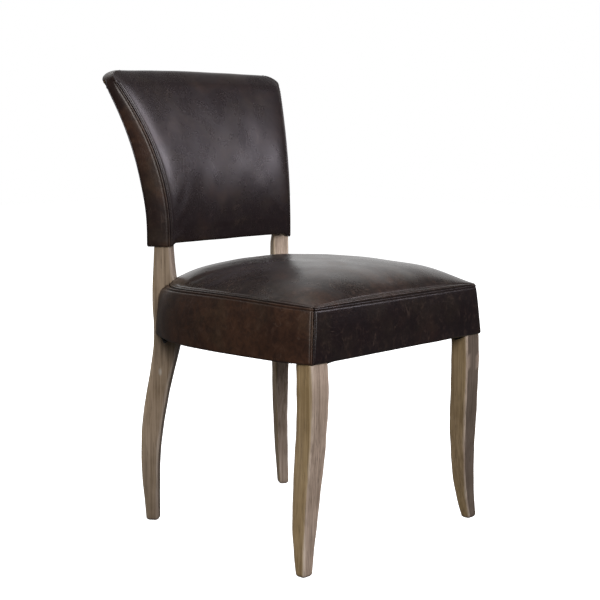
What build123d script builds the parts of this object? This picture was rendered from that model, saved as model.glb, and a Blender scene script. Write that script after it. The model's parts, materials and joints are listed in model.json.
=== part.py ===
from build123d import *
import math
import os

# Leather side chair, in millimetres. It faces -Y and stands on Z = 0.
# While the pieces are made, Y = 0 is the front of the seat and X = 0 the middle.
# The sitter's right side (-X) is made first and the left side is its mirror image.

# Seat
SEAT_BOTTOM = 365.0
SEAM_HEIGHT = 460.0
SEAM_RISE = 7.0
SEAT_DEPTH = 457.0
SEAT_HALF_WIDTH = 256.0
SEAT_WIDEST_Y = 110.0
SEAT_FRONT_DRAW = 12.0
SEAT_REAR_OUT = 17.0
SEAT_REAR_CURVE = 3.5
SEAT_WALL_LEAN = 10.0
CROWN_HEIGHT = 47.0
CROWN_AT_FRONT = 6.0
CROWN_AT_REAR = 12.0
CROWN_FULLNESS = 4.0
SEAT_STATIONS = (0.0, 0.03, 0.1, 0.22, 0.42, 0.62, 0.78, 0.9, 1.0)

# Leather, cloth and the small gaps that keep soft pieces clear of hard ones
LEATHER = 2.0
HEM = 18.0
CORNER_LAP = 0.5
DUST_CLOTH = 1.0
COVER_GAP = 0.3
FIT_GAP = 0.1

# Back rest
BACK_RISE = 78.0
BACK_HEIGHT = 326.0
BACK_SEAM_X = 167.0
BACK_SEAM_FORWARD = 30.0
BACK_LEAN = 79.0
LEAN_RISE = 21.0
LEAN_SPAN = 275.0
BACK_THICKNESS = 38.0
BACK_THINNING = 16.0
THINNING_RISE = 102.0
THINNING_SPAN = 200.0
BACK_HOLLOW = 8.0
REAR_BULGE_LOW = 24.0
REAR_BULGE_HIGH = 14.0
NOSE_HEIGHT = 24.0
NOSE_ROUND = 8.6
BACK_CORNER = 35.0
SIDE_DROP = 6.0
BACK_SECTIONS = 8
NOSE_ANGLES = (0, 25, 45, 62, 78)

# Rear legs: one curved plank each, leg below and back post above
LEG_TURN = 34.0
POST_DROP = 30.0
REAR_LEG_INSET = 4.0
REAR_LEG_THICKNESS = 32.0
POST_TOP_THICKNESS = 18.0
REAR_FOOT_THICKNESS = 21.0
REAR_FOOT_SPLAY = 7.0
REAR_FOOT_BACK = 30.5
REAR_FOOT_DEPTH = 24.5
REAR_ANKLE_BACK = 31.0
REAR_ANKLE_HEIGHT = 50.0
REAR_ANKLE_DEPTH = 28.0
REAR_BOW_BACK = 30.3
REAR_BOW_HEIGHT = 105.0
REAR_BOW_DEPTH = 32.7
REAR_CALF_BACK = 26.0
REAR_CALF_HEIGHT = 160.0
REAR_CALF_DEPTH = 36.9
REAR_SHIN_BACK = 18.0
REAR_SHIN_HEIGHT = 215.0
REAR_SHIN_DEPTH = 40.0
REAR_THIGH_BACK = -6.5
REAR_THIGH_HEIGHT = 325.0
REAR_THIGH_DEPTH = 46.0
REAR_KNEE_FORWARD = 18.0
REAR_KNEE_HEIGHT = 395.0
REAR_KNEE_DEPTH = 55.0
WAIST_HEIGHT = 478.0
WAIST_FORWARD = 3.0
WAIST_DEPTH = 40.0
POST_FRONT_COVER = 3.0
POST_REAR_COVER = 12.5
ARRIS = 1.5
FOOT_EASE = 6.0

# Front legs
FRONT_LEG_WIDTH = 43.0
FRONT_LEG_DEPTH = 37.0
FRONT_LEG_SIDE_GAP = 2.5
FRONT_LEG_FRONT_GAP = 4.0
FRONT_FOOT_WIDTH = 24.0
FRONT_FOOT_DEPTH = 21.0
FRONT_FOOT_FLARE = 10.0
FRONT_FOOT_BACK = 7.5
FRONT_CALF_HEIGHT = 220.0
FRONT_CALF_BACK = 2.0
FRONT_ANKLE_HEIGHT = 100.0
FRONT_ANKLE_WIDTH = 34.0
FRONT_ANKLE_DEPTH = 31.5
FRONT_ANKLE_FLARE = 4.5
FRONT_ANKLE_BACK = 9.5

# Seat frame
RAIL_RISE = 2.5
RAIL_HEIGHT = 62.5
RAIL_THICKNESS = 22.0
RAIL_POINTS = 5
BISECTIONS = 40
SIDE_RAIL_INSET = 10.5
FRONT_RAIL_SETBACK = 6.0
REAR_RAIL_SETBACK = 4.0
BLOCK_HEIGHT = 34.0
BLOCK_RISE = 14.0
BLOCK_WIDTH = 26.0
FRONT_BLOCK_REACH = 150.0
FRONT_BLOCK_BACK = 100.0
REAR_BLOCK_REACH = 85.0
REAR_BLOCK_AHEAD = 102.0
BOLT_HEAD = 12.0
BOLT_HEAD_HEIGHT = 4.0
BOLT_SHANK = 6.0
DOWEL = 8.0
DOWEL_LENGTH = 36.0
DOWEL_SPREAD = 32.0

# Webbing and foam
WEB_THICKNESS = 1.5
WEB_WIDTH = 45.0
LENGTHWISE_WEBS = 5
LENGTHWISE_PITCH = 51.0
CROSS_WEBS = 5
WEB_OVERLAP = 14.0
BACK_WEBS = 4
BACK_WEB_PITCH = 64.0
BACK_WEB_OVERLAP = 30.0
BACK_FOAM_EDGE = 8.0

# Back frame
BACK_RAIL_HEIGHT = 52.0
BACK_RAIL_THICKNESS = 14.0
BOTTOM_RAIL_RISE = 6.0
TOP_RAIL_DROP = 34.0
BACK_RAIL_GAP = 2.0
BACK_DOWEL = 6.0
BACK_DOWEL_LENGTH = 26.0
BACK_DOWEL_SPREAD = 26.0
REAR_TURN_UNDER = 6.0

# Trim
NAIL_HEAD = 8.0
NAIL_RISE = 2.2
NAIL_PITCH = 9.6
NAIL_EDGE = 6.0
NAIL_FIRST_RISE = 6.0
NAIL_LIFT = 0.6
STAPLE_LENGTH = 10.0
STAPLE_WIRE = 0.9
STAPLE_PITCH = 45.0
STAPLE_INSET = 22.0
DUST_COVER_INSET = 8.0

# Reach of cutting blocks, past every piece
FAR = 400.0

# Places worked out from the sizes above
TURN = math.radians(LEG_TURN)
SEAT_REAR_DRAW = SEAT_HALF_WIDTH - BACK_SEAM_X - SEAT_REAR_OUT
BACK_SEAM_Y = SEAT_DEPTH - BACK_SEAM_FORWARD
BACK_BOTTOM = SEAM_HEIGHT + BACK_RISE
BACK_TOP = BACK_BOTTOM + BACK_HEIGHT
LEAN_START = BACK_BOTTOM + LEAN_RISE
THINNING_START = BACK_BOTTOM + THINNING_RISE
REAR_LEG_TOP = BACK_TOP - POST_DROP
RAIL_BOTTOM = SEAT_BOTTOM + RAIL_RISE
RAIL_TOP = RAIL_BOTTOM + RAIL_HEIGHT
FRONT_RAIL_REAR = FRONT_RAIL_SETBACK + RAIL_THICKNESS
REAR_RAIL_FRONT = SEAT_DEPTH - LEATHER - REAR_RAIL_SETBACK - RAIL_THICKNESS
REAR_BLOCK_Y = SEAT_DEPTH - REAR_BLOCK_AHEAD
CROSS_PITCH = (REAR_RAIL_FRONT - FRONT_RAIL_REAR) / (CROSS_WEBS + 1)
RAIL_MIDDLE = (RAIL_BOTTOM + RAIL_TOP) / 2
BLOCK_MIDDLE = RAIL_BOTTOM + BLOCK_RISE + BLOCK_HEIGHT / 2
SIDE_RAIL_INNER = SIDE_RAIL_INSET + RAIL_THICKNESS
NOSE_START = BACK_TOP - NOSE_HEIGHT
BOTTOM_RAIL_Z = BACK_BOTTOM + BOTTOM_RAIL_RISE
TOP_RAIL_Z = BACK_TOP - TOP_RAIL_DROP - BACK_RAIL_HEIGHT
BACK_RAIL_DEPTH = LEATHER + BACK_RAIL_GAP + BACK_RAIL_THICKNESS


def face_of(*edges):
    """Flat face inside a closed loop of edges."""
    return make_face(list(edges))


def mirrored(piece):
    """The same piece on the sitter's left."""
    return mirror(piece, about=Plane.YZ)


def both_sides(solids):
    """Right-hand solids together with their mirror images."""
    return list(solids) + [mirrored(solid) for solid in solids]


def largest(shape, count=1):
    """The largest solids of a shape that cuts have split, from right to left."""
    by_volume = sorted(shape.solids(), key=lambda solid: solid.volume)
    return sorted(by_volume[-count:], key=lambda solid: solid.center().X)


def seat_half_width(y):
    """Half width of the seat at its lower edge, y behind the front."""
    if y < SEAT_WIDEST_Y:
        return SEAT_HALF_WIDTH - SEAT_FRONT_DRAW * (1 - y / SEAT_WIDEST_Y) ** 2
    share = (y - SEAT_WIDEST_Y) / (SEAT_DEPTH - SEAT_WIDEST_Y)
    return SEAT_HALF_WIDTH - SEAT_REAR_DRAW * share ** SEAT_REAR_CURVE


def seam_height(y):
    """Height of the seam between the seat's top and its sides."""
    return SEAM_HEIGHT + SEAM_RISE * math.sin(math.pi * y / SEAT_DEPTH)


def crown_height(y):
    """How far the middle of the seat stands above its side seams."""
    share = 2 * y / SEAT_DEPTH - 1
    edge = CROWN_AT_FRONT if share < 0 else CROWN_AT_REAR
    return CROWN_HEIGHT - (CROWN_HEIGHT - edge) * abs(share) ** CROWN_FULLNESS


def seat_form(inset, bottom):
    """Upholstered seat as one crowned block, shrunk by inset, from bottom up."""
    sections = []
    for station in SEAT_STATIONS:
        y = station * SEAT_DEPTH
        place = min(max(y, inset), SEAT_DEPTH - inset)
        seam = seam_height(y) - inset
        low = seat_half_width(y) - inset
        wall = seam_height(y) - SEAT_BOTTOM
        high = low - SEAT_WALL_LEAN * (seam - SEAT_BOTTOM) / wall
        base = low - SEAT_WALL_LEAN * (bottom - SEAT_BOTTOM) / wall
        top = seam + crown_height(y)
        sections.append(face_of(
            Line((-base, place, bottom), (-high, place, seam)),
            ThreePointArc((-high, place, seam), (0, place, top), (high, place, seam)),
            Line((high, place, seam), (base, place, bottom)),
            Line((base, place, bottom), (-base, place, bottom)),
        ))
    return loft(sections)


def seat_plan(inset, bottom, top, front=0.0, rear=SEAT_DEPTH):
    """Upright block with the seat's outline drawn in by inset."""
    steps = 6
    span = rear - front - 2 * inset
    ys = [front + inset + span * i / steps for i in range(steps + 1)]
    right = Spline(*[(-(seat_half_width(y) - inset), y, bottom) for y in ys])
    left = Spline(*[(seat_half_width(y) - inset, y, bottom) for y in ys])
    outline = face_of(right, Line(right @ 1, left @ 1), left, Line(left @ 0, right @ 0))
    return extrude(outline, amount=top - bottom, dir=(0, 0, 1))


def above_seam():
    """Everything higher than the seat's seam."""
    heights = [(station * SEAT_DEPTH, seam_height(station * SEAT_DEPTH)) for station in SEAT_STATIONS]
    seam = Spline(*heights)
    front = (-FAR, heights[0][1])
    rear = (SEAT_DEPTH + FAR, heights[-1][1])
    roof = [(rear[0], rear[1] + FAR), (front[0], front[1] + FAR)]
    over = Polyline(heights[-1], rear, *roof, front, heights[0])
    return extrude(Plane.YZ * face_of(seam, over), amount=FAR, both=True)


def back_front_y(z):
    """Front of the back rest at its side seams."""
    lean = BACK_LEAN * (max(0.0, z - LEAN_START) / LEAN_SPAN) ** 2
    return BACK_SEAM_Y + lean + nose_round(z)


def back_rear_y(z):
    """Rear of the back rest at its side edges."""
    lean = BACK_LEAN * (max(0.0, z - LEAN_START) / LEAN_SPAN) ** 2
    thinning = BACK_THINNING * (max(0.0, z - THINNING_START) / THINNING_SPAN) ** 1.5
    return BACK_SEAM_Y + lean + BACK_THICKNESS - thinning - nose_round(z)


def nose_round(z):
    """How far the rounded top edge draws in at height z."""
    share = max(0.0, (z - NOSE_START) / NOSE_HEIGHT)
    return NOSE_ROUND * (1 - math.sqrt(1 - min(share, 1.0) ** 2))


def rear_bulge(z):
    """How far the middle of the outside back stands behind its side edges."""
    share = min(1.0, (z - BACK_BOTTOM) / (NOSE_START - BACK_BOTTOM))
    return REAR_BULGE_LOW + share * (REAR_BULGE_HIGH - REAR_BULGE_LOW)


def side_x(y, inward=0.0):
    """Half width of the back rest's turned side plane, shifted inward."""
    return BACK_SEAM_X + (y - BACK_SEAM_Y) * math.tan(TURN) - inward / math.cos(TURN)


def back_section(z, inset, side_inset, place):
    """Outline across the back rest at height z, shrunk by the insets and set at height place."""
    front = back_front_y(z) + inset
    rear = back_rear_y(z) - inset
    near = side_x(front, side_inset)
    far = side_x(rear, side_inset)
    return face_of(
        ThreePointArc((-near, front, place), (0, front + BACK_HOLLOW, place), (near, front, place)),
        Line((near, front, place), (far, rear, place)),
        ThreePointArc((far, rear, place), (0, rear + rear_bulge(z), place), (-far, rear, place)),
        Line((-far, rear, place), (-near, front, place)),
    )


def back_slab(inset, side_inset, bottom):
    """Back rest as one curved slab with a rounded top edge, shrunk by the insets."""
    heights = [bottom + (NOSE_START - bottom) * i / BACK_SECTIONS for i in range(BACK_SECTIONS + 1)]
    slab = loft([back_section(z, inset, side_inset, z) for z in heights])
    drop = inset / NOSE_HEIGHT
    nose = []
    for angle in NOSE_ANGLES:
        z = NOSE_START + NOSE_HEIGHT * math.sin(math.radians(angle))
        nose.append(back_section(z, inset, side_inset, z - drop * (z - NOSE_START)))
    return slab + loft(nose, ruled=True)


def back_form(inset, side_inset, bottom):
    """Back slab with its two rounded top corners."""
    top = BACK_TOP - inset
    half = side_x(back_rear_y(BACK_TOP - BACK_CORNER)) - inset
    height = top - bottom
    board = Pos(0, bottom + height / 2) * Rectangle(2 * half, height)
    rounded = fillet(board.vertices().group_by(Axis.Y)[-1], BACK_CORNER - inset)
    outline = extrude(Plane.XZ * rounded, amount=2 * FAR, both=True)
    return back_slab(inset, side_inset, bottom) & outline


def leg_section(plane, near, far, left, right, shrink=0.0):
    """Rounded rectangle across a leg, between two pairs of sides."""
    middle = Pos((near + far) / 2, (left + right) / 2)
    size = (abs(far - near) - 2 * shrink, abs(right - left) - 2 * shrink)
    return plane * middle * RectangleRounded(*size, ARRIS)


def leg_solid(section, stations):
    """Smooth shaft through sections at the stations, on a foot with eased edges."""
    shaft = loft([section(z) for z in stations])
    rounds = []
    for angle in (0, 30, 60, 90):
        drop = FOOT_EASE * math.sin(math.radians(angle))
        ease = FOOT_EASE * (1 - math.cos(math.radians(angle)))
        rounds.append(section(FOOT_EASE, drop, ease))
    return shaft + loft(rounds, ruled=True)


def front_leg_sides():
    """Outer, inner, front and rear faces of the right front leg where it enters the seat."""
    outer = FRONT_LEG_SIDE_GAP - seat_half_width(0)
    rear = FRONT_LEG_FRONT_GAP + FRONT_LEG_DEPTH
    return outer, outer + FRONT_LEG_WIDTH, FRONT_LEG_FRONT_GAP, rear


def front_leg(grow=0.0):
    """Tapered front leg on the sitter's right, curved in both views."""
    outer, inner, front, rear = front_leg_sides()
    lean = SEAT_WALL_LEAN * (RAIL_TOP - SEAT_BOTTOM) / (SEAM_HEIGHT - SEAT_BOTTOM)
    foot_x = outer - FRONT_FOOT_FLARE
    foot_y = front + FRONT_FOOT_BACK
    ankle_x = outer - FRONT_ANKLE_FLARE
    ankle_y = front + FRONT_ANKLE_BACK
    calf_y = front + FRONT_CALF_BACK
    sides = {
        FOOT_EASE: (foot_x, foot_x + FRONT_FOOT_WIDTH, foot_y, foot_y + FRONT_FOOT_DEPTH),
        FRONT_ANKLE_HEIGHT: (ankle_x, ankle_x + FRONT_ANKLE_WIDTH, ankle_y, ankle_y + FRONT_ANKLE_DEPTH),
        FRONT_CALF_HEIGHT: (outer, inner - FRONT_CALF_BACK, calf_y, rear + FRONT_CALF_BACK),
        SEAT_BOTTOM: (outer, inner, front, rear),
    }

    def section(z, drop=0.0, shrink=0.0):
        return leg_section(Plane.XY.offset(z - drop), *sides[z], shrink - grow)

    top = leg_section(Plane.XY.offset(RAIL_TOP), outer + lean, inner, front, rear, -grow)
    head = loft([section(SEAT_BOTTOM), top], ruled=True)
    return leg_solid(section, list(sides)) + head


def along_plank(y):
    """Distance along the rear leg's plane to a place y behind the seat's front."""
    return (y - BACK_SEAM_Y) / math.cos(TURN)


def plank_point(along, inward):
    """Plan point on the right rear leg's plank, from the foot of the back's side seam."""
    x = -BACK_SEAM_X - along * math.sin(TURN) + inward * math.cos(TURN)
    y = BACK_SEAM_Y + along * math.cos(TURN) + inward * math.sin(TURN)
    return Vector(x, y)


def post_thickness(z):
    """Thickness of the rear leg's plank, which thins inside the back rest."""
    share = max(0.0, z - BACK_BOTTOM) / (REAR_LEG_TOP - BACK_BOTTOM)
    return REAR_LEG_THICKNESS + share * (POST_TOP_THICKNESS - REAR_LEG_THICKNESS)


def rear_leg(grow=0.0):
    """Curved rear leg and back post on the sitter's right, sawn from one plank."""
    back = (-math.sin(TURN), math.cos(TURN), 0)
    foot_outer = REAR_LEG_INSET - REAR_FOOT_SPLAY
    foot_inner = foot_outer + REAR_FOOT_THICKNESS
    edges = {
        FOOT_EASE: (REAR_FOOT_BACK, REAR_FOOT_DEPTH),
        REAR_ANKLE_HEIGHT: (REAR_ANKLE_BACK, REAR_ANKLE_DEPTH),
        REAR_BOW_HEIGHT: (REAR_BOW_BACK, REAR_BOW_DEPTH),
        REAR_CALF_HEIGHT: (REAR_CALF_BACK, REAR_CALF_DEPTH),
        REAR_SHIN_HEIGHT: (REAR_SHIN_BACK, REAR_SHIN_DEPTH),
        REAR_THIGH_HEIGHT: (REAR_THIGH_BACK, REAR_THIGH_DEPTH),
        REAR_KNEE_HEIGHT: (-REAR_KNEE_FORWARD, REAR_KNEE_DEPTH),
        WAIST_HEIGHT: (-WAIST_FORWARD, WAIST_DEPTH),
    }
    for share in (0.08, 0.35, 0.6, 0.8, 1.0):
        z = BACK_BOTTOM + share * (REAR_LEG_TOP - BACK_BOTTOM)
        front = along_plank(back_front_y(z)) + POST_FRONT_COVER
        edges[z] = (front, along_plank(back_rear_y(z)) - POST_REAR_COVER - front)

    def section(z, drop=0.0, shrink=0.0):
        front, depth = edges[z]
        share = min(1.0, (z - FOOT_EASE) / (REAR_KNEE_HEIGHT - FOOT_EASE))
        plane = Plane(origin=(-BACK_SEAM_X, BACK_SEAM_Y, z - drop), x_dir=back, z_dir=(0, 0, 1))
        near = foot_outer + share * (REAR_LEG_INSET - foot_outer)
        far = foot_inner + share * (REAR_LEG_INSET + post_thickness(z) - foot_inner)
        return leg_section(plane, front, front + depth, -near, -far, shrink - grow)

    return leg_solid(section, list(edges))


def beside_plane(inward, outside=True):
    """Block on one side of the right-hand turned plane, shifted inward."""
    back = (-math.sin(TURN), math.cos(TURN), 0)
    plane = Plane(origin=(-BACK_SEAM_X, BACK_SEAM_Y, 0), x_dir=back, z_dir=(0, 0, 1))
    middle = FAR - inward if outside else -FAR - inward
    return plane * Pos(0, middle, FAR) * Box(4 * FAR, 2 * FAR, 4 * FAR)


def rail_curve(inset):
    """Side of the seat frame, drawn in from the seat's outline by inset."""
    start = FRONT_LEG_FRONT_GAP + FRONT_LEG_DEPTH
    ys = [start + (SEAT_DEPTH - start) * i / RAIL_POINTS for i in range(RAIL_POINTS + 1)]
    return Spline(*[(inset - seat_half_width(y), y) for y in ys])


def side_rail(leg):
    """Bowed side rail on the sitter's right, from the front leg to the rear leg."""
    outer = rail_curve(SIDE_RAIL_INSET)
    inner = rail_curve(SIDE_RAIL_INNER)
    outline = face_of(outer, Line(outer @ 1, inner @ 1), inner, Line(inner @ 0, outer @ 0))
    board = extrude(Plane.XY.offset(RAIL_BOTTOM) * outline, amount=RAIL_TOP - RAIL_BOTTOM)
    return largest(board - leg)[0]


def cross_rail(front, reach):
    """Straight rail across the chair, with its front face at front."""
    place = Pos(0, front + RAIL_THICKNESS / 2, RAIL_MIDDLE)
    return place * Box(2 * reach, RAIL_THICKNESS, RAIL_TOP - RAIL_BOTTOM)


def block_ends(at_front):
    """Plan points where a right-hand corner block meets its two rails."""
    if at_front:
        side = Vector(SIDE_RAIL_INNER - seat_half_width(FRONT_BLOCK_BACK), FRONT_BLOCK_BACK)
        return Vector(-FRONT_BLOCK_REACH, FRONT_RAIL_REAR), side
    side = Vector(SIDE_RAIL_INNER - seat_half_width(REAR_BLOCK_Y), REAR_BLOCK_Y)
    return Vector(-REAR_BLOCK_REACH, REAR_RAIL_FRONT), side


def corner_block(at_front):
    """Diagonal block across a right-hand corner of the seat frame, before its ends are cut."""
    start, end = block_ends(at_front)
    along = end - start
    middle = (start + end) / 2
    angle = math.degrees(math.atan2(along.Y, along.X))
    place = Pos(middle.X, middle.Y, BLOCK_MIDDLE) * Rot(0, 0, angle)
    return place * Box(along.length + RAIL_THICKNESS, BLOCK_WIDTH, BLOCK_HEIGHT)


def leg_middle(at_front):
    """Plan point in the middle of a right-hand leg at the seat frame."""
    if at_front:
        outer, inner, front, rear = front_leg_sides()
        return Vector((outer + inner) / 2, (front + rear) / 2)
    along = REAR_KNEE_DEPTH / 2 - REAR_KNEE_FORWARD
    return plank_point(along, REAR_LEG_INSET + REAR_LEG_THICKNESS / 2)


def corner_bolt(at_front, grow=0.0):
    """Bolt through a corner block into the middle of its leg, square to the block."""
    start, end = block_ends(at_front)
    along = (end - start).normalized()
    tip = leg_middle(at_front)
    foot = start + along * (tip - start).dot(along)
    into = (tip - foot).normalized()
    seat = foot - into * (BLOCK_WIDTH / 2)
    place = Plane(origin=(seat.X, seat.Y, BLOCK_MIDDLE), z_dir=into)
    length = (tip - seat).length
    shank = Pos(0, 0, length / 2) * Cylinder(BOLT_SHANK / 2 + grow, length + 2 * grow)
    if grow:
        return place * shank
    head = Pos(0, 0, -BOLT_HEAD_HEIGHT / 2) * Cylinder(BOLT_HEAD / 2, BOLT_HEAD_HEIGHT)
    return place * (shank + head)


def dowel(point, direction, diameter, length, grow):
    """Wooden dowel, half on each side of a joint at point."""
    place = Plane(origin=point, z_dir=direction)
    return place * Cylinder(diameter / 2 + grow, length + 2 * grow)


def crossing(low, high, beyond):
    """Value between low and high where beyond turns from false to true."""
    for _ in range(BISECTIONS):
        middle = (low + high) / 2
        if beyond(middle):
            high = middle
        else:
            low = middle
    return low


def seat_dowels(grow=0.0):
    """Dowels of the right half of the seat frame, two at each joint."""

    def past_leg(y):
        return seat_half_width(y) - SIDE_RAIL_INSET - RAIL_THICKNESS / 2 < side_x(y, REAR_LEG_INSET)

    _, leg_inner, _, leg_rear = front_leg_sides()
    rail_x = SIDE_RAIL_INSET + RAIL_THICKNESS / 2 - seat_half_width(leg_rear)
    side_y = crossing(REAR_BLOCK_Y, SEAT_DEPTH, past_leg)
    rear_y = REAR_RAIL_FRONT + RAIL_THICKNESS / 2
    rear_x = -side_x(rear_y, REAR_LEG_INSET + REAR_LEG_THICKNESS)
    joints = [
        (leg_inner, FRONT_RAIL_SETBACK + RAIL_THICKNESS / 2, (1, 0, 0)),
        (rail_x, leg_rear, (0, 1, 0)),
        (-side_x(side_y, REAR_LEG_INSET), side_y, (math.cos(TURN), math.sin(TURN), 0)),
        (rear_x, rear_y, (1, 0, 0)),
    ]
    dowels = []
    for x, y, direction in joints:
        for rise in (-DOWEL_SPREAD / 2, DOWEL_SPREAD / 2):
            dowels.append(dowel((x, y, RAIL_MIDDLE + rise), direction, DOWEL, DOWEL_LENGTH, grow))
    return dowels


def lengthwise_webbing():
    """Straps from the front rail to the rear rail, lying on both."""
    front = FRONT_RAIL_REAR - WEB_OVERLAP
    rear = REAR_RAIL_FRONT + WEB_OVERLAP
    straps = []
    for i in range(LENGTHWISE_WEBS):
        x = (i - (LENGTHWISE_WEBS - 1) / 2) * LENGTHWISE_PITCH
        place = Pos(x, (front + rear) / 2, RAIL_TOP + WEB_THICKNESS / 2)
        straps.append(place * Box(WEB_WIDTH, rear - front, WEB_THICKNESS))
    return Compound(straps)


def crosswise_webbing():
    """Straps from side rail to side rail, lying on the lengthwise straps."""
    straps = []
    for i in range(CROSS_WEBS):
        y = FRONT_RAIL_REAR + (i + 1) * CROSS_PITCH
        reach = seat_half_width(y) - SIDE_RAIL_INNER + WEB_OVERLAP
        place = Pos(0, y, RAIL_TOP + 1.5 * WEB_THICKNESS)
        straps.append(place * Box(2 * reach, WEB_WIDTH, WEB_THICKNESS))
    return Compound(straps)


def seat_foam(rear_legs):
    """Crowned foam block on the webbing, notched for the rear legs."""
    bottom = RAIL_TOP + 2 * WEB_THICKNESS + COVER_GAP
    return seat_form(LEATHER + COVER_GAP, bottom) - rear_legs


def seat_leather(legs):
    """All the leather of the seat, open underneath inside its hem and round the legs."""
    shell = seat_form(0, SEAT_BOTTOM) - seat_form(LEATHER, SEAT_BOTTOM + LEATHER)
    opening = seat_plan(HEM, SEAT_BOTTOM - LEATHER, SEAT_BOTTOM + 2 * LEATHER)
    return shell - [opening, *legs]


def front_corner_mitre():
    """Everything in front of the two upright seams at the seat's front corners."""
    sections = []
    for rise in (-FAR / 2, FAR / 2):
        lean = SEAT_WALL_LEAN * rise / (SEAM_HEIGHT - SEAT_BOTTOM)
        half = seat_half_width(0) - lean + CORNER_LAP
        corners = Polyline((-half - FAR, -FAR), (half + FAR, -FAR), (0, half), close=True)
        sections.append(Plane.XY.offset(SEAT_BOTTOM + rise) * make_face(corners))
    return loft(sections, ruled=True)


def dust_cover(legs):
    """Thin black cloth under the seat, cut round the legs."""
    return seat_plan(DUST_COVER_INSET, SEAT_BOTTOM - DUST_CLOTH, SEAT_BOTTOM) - legs


def staple(x, y, angle):
    """One staple that holds the dust cover up to a rail."""
    place = Pos(x, y, SEAT_BOTTOM - DUST_CLOTH - STAPLE_WIRE / 2) * Rot(0, 0, angle)
    return place * Box(STAPLE_LENGTH, STAPLE_WIRE, STAPLE_WIRE)


def spread(start, end, pitch):
    """Even places from start to end, about a pitch apart."""
    count = round((end - start) / pitch)
    return [start + (end - start) * i / count for i in range(count + 1)]


def dust_cover_staples():
    """Staples all round under the rails, clear of the legs."""
    _, leg_inner, _, leg_rear = front_leg_sides()
    staples = []
    for x in spread(leg_inner + STAPLE_INSET, -leg_inner - STAPLE_INSET, STAPLE_PITCH):
        staples.append(staple(x, STAPLE_INSET, 0))
    for x in spread(-REAR_BLOCK_REACH, REAR_BLOCK_REACH, STAPLE_PITCH):
        staples.append(staple(x, SEAT_DEPTH - STAPLE_INSET, 0))
    sides = []
    for y in spread(leg_rear + STAPLE_INSET, REAR_BLOCK_Y, STAPLE_PITCH):
        run = seat_half_width(y - STAPLE_LENGTH) - seat_half_width(y + STAPLE_LENGTH)
        angle = math.degrees(math.atan2(2 * STAPLE_LENGTH, run))
        sides.append(staple(STAPLE_INSET - seat_half_width(y), y, angle))
    return Compound(staples + both_sides(sides))


def behind_back(depth, heights):
    """Everything behind the outside back's curve, moved forward by depth."""
    sections = []
    for z in heights:
        front = back_rear_y(z) - depth
        half = side_x(back_rear_y(z))
        sections.append(face_of(
            ThreePointArc((-half, front, z), (0, front + rear_bulge(z), z), (half, front, z)),
            Polyline((half, front, z), (FAR, front, z), (FAR, front + FAR, z), (-FAR, front + FAR, z),
                     (-FAR, front, z), (-half, front, z)),
        ))
    return loft(sections, ruled=True)


def level(low, high):
    """Block between two heights."""
    return Pos(0, 0, (low + high) / 2) * Box(4 * FAR, 4 * FAR, high - low)


def back_frame_heights():
    """Heights where the rails' and webbing's curve in the back rest changes direction."""
    return BACK_BOTTOM, BOTTOM_RAIL_Z + BACK_RAIL_HEIGHT, TOP_RAIL_Z, TOP_RAIL_Z + BACK_RAIL_HEIGHT


def between_posts():
    """Everything between the posts' inner faces, which lean apart as the posts thin."""
    sections = []
    for z in (BACK_BOTTOM, REAR_LEG_TOP):
        inward = REAR_LEG_INSET + post_thickness(z)
        corners = [(side_x(y, inward), y, z) for y in (BACK_SEAM_Y, BACK_SEAM_Y + FAR)]
        mirror_corners = [(-x, y, z) for x, y, z in reversed(corners)]
        sections.append(make_face(Polyline(*corners, *mirror_corners, close=True)))
    return loft(sections, ruled=True)


def back_rail(low, posts):
    """Curved rail between the posts, just inside the outside back."""
    heights = back_frame_heights()
    layer = behind_back(BACK_RAIL_DEPTH, heights) - behind_back(LEATHER + BACK_RAIL_GAP, heights)
    board = layer & level(low, low + BACK_RAIL_HEIGHT) & between_posts()
    return largest(board - posts)[0]


def back_dowels(grow=0.0):
    """Dowels between the back rails and the right post, two at each joint."""
    dowels = []
    for low in (BOTTOM_RAIL_Z, TOP_RAIL_Z):
        for rise in (-BACK_DOWEL_SPREAD / 2, BACK_DOWEL_SPREAD / 2):
            z = low + BACK_RAIL_HEIGHT / 2 + rise
            half = side_x(back_rear_y(z))
            middle = back_rear_y(z) - BACK_RAIL_DEPTH + BACK_RAIL_THICKNESS / 2

            def rail_y(x):
                return middle + rear_bulge(z) * (1 - (x / half) ** 2)

            def past_post(x):
                return x > side_x(rail_y(x), REAR_LEG_INSET + post_thickness(z))

            x = crossing(0.0, half, past_post)
            slope = 2 * rear_bulge(z) * x / half ** 2
            place = (-x, rail_y(x), z)
            dowels.append(dowel(place, (1, slope, 0), BACK_DOWEL, BACK_DOWEL_LENGTH, grow))
    return dowels


def back_webbing():
    """Upright straps on the front of the two back rails."""
    heights = back_frame_heights()
    near = BACK_RAIL_DEPTH + FIT_GAP
    layer = behind_back(near + WEB_THICKNESS, heights) - behind_back(near, heights)
    low = BOTTOM_RAIL_Z + BACK_RAIL_HEIGHT - BACK_WEB_OVERLAP
    high = TOP_RAIL_Z + BACK_WEB_OVERLAP
    straps = []
    for i in range(BACK_WEBS):
        x = (i - (BACK_WEBS - 1) / 2) * BACK_WEB_PITCH
        strap = Pos(x, 0, (low + high) / 2) * Box(WEB_WIDTH, 4 * FAR, high - low)
        straps += (layer & strap).solids()
    return Compound(straps)


def between_sides(inward):
    """Everything between the back rest's two turned side planes, shifted inward."""
    inside = beside_plane(inward, outside=False)
    return inside & mirrored(inside)


def back_foam(posts):
    """Foam in front of the webbing and over the top rail."""
    form = back_form(LEATHER + COVER_GAP, LEATHER + COVER_GAP, BACK_BOTTOM + LEATHER + COVER_GAP)
    frame_space = behind_back(BACK_RAIL_DEPTH + WEB_THICKNESS + COVER_GAP, back_frame_heights())
    form = (form & between_sides(BACK_FOAM_EDGE)) - frame_space
    return largest(form - posts)[0]


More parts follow.
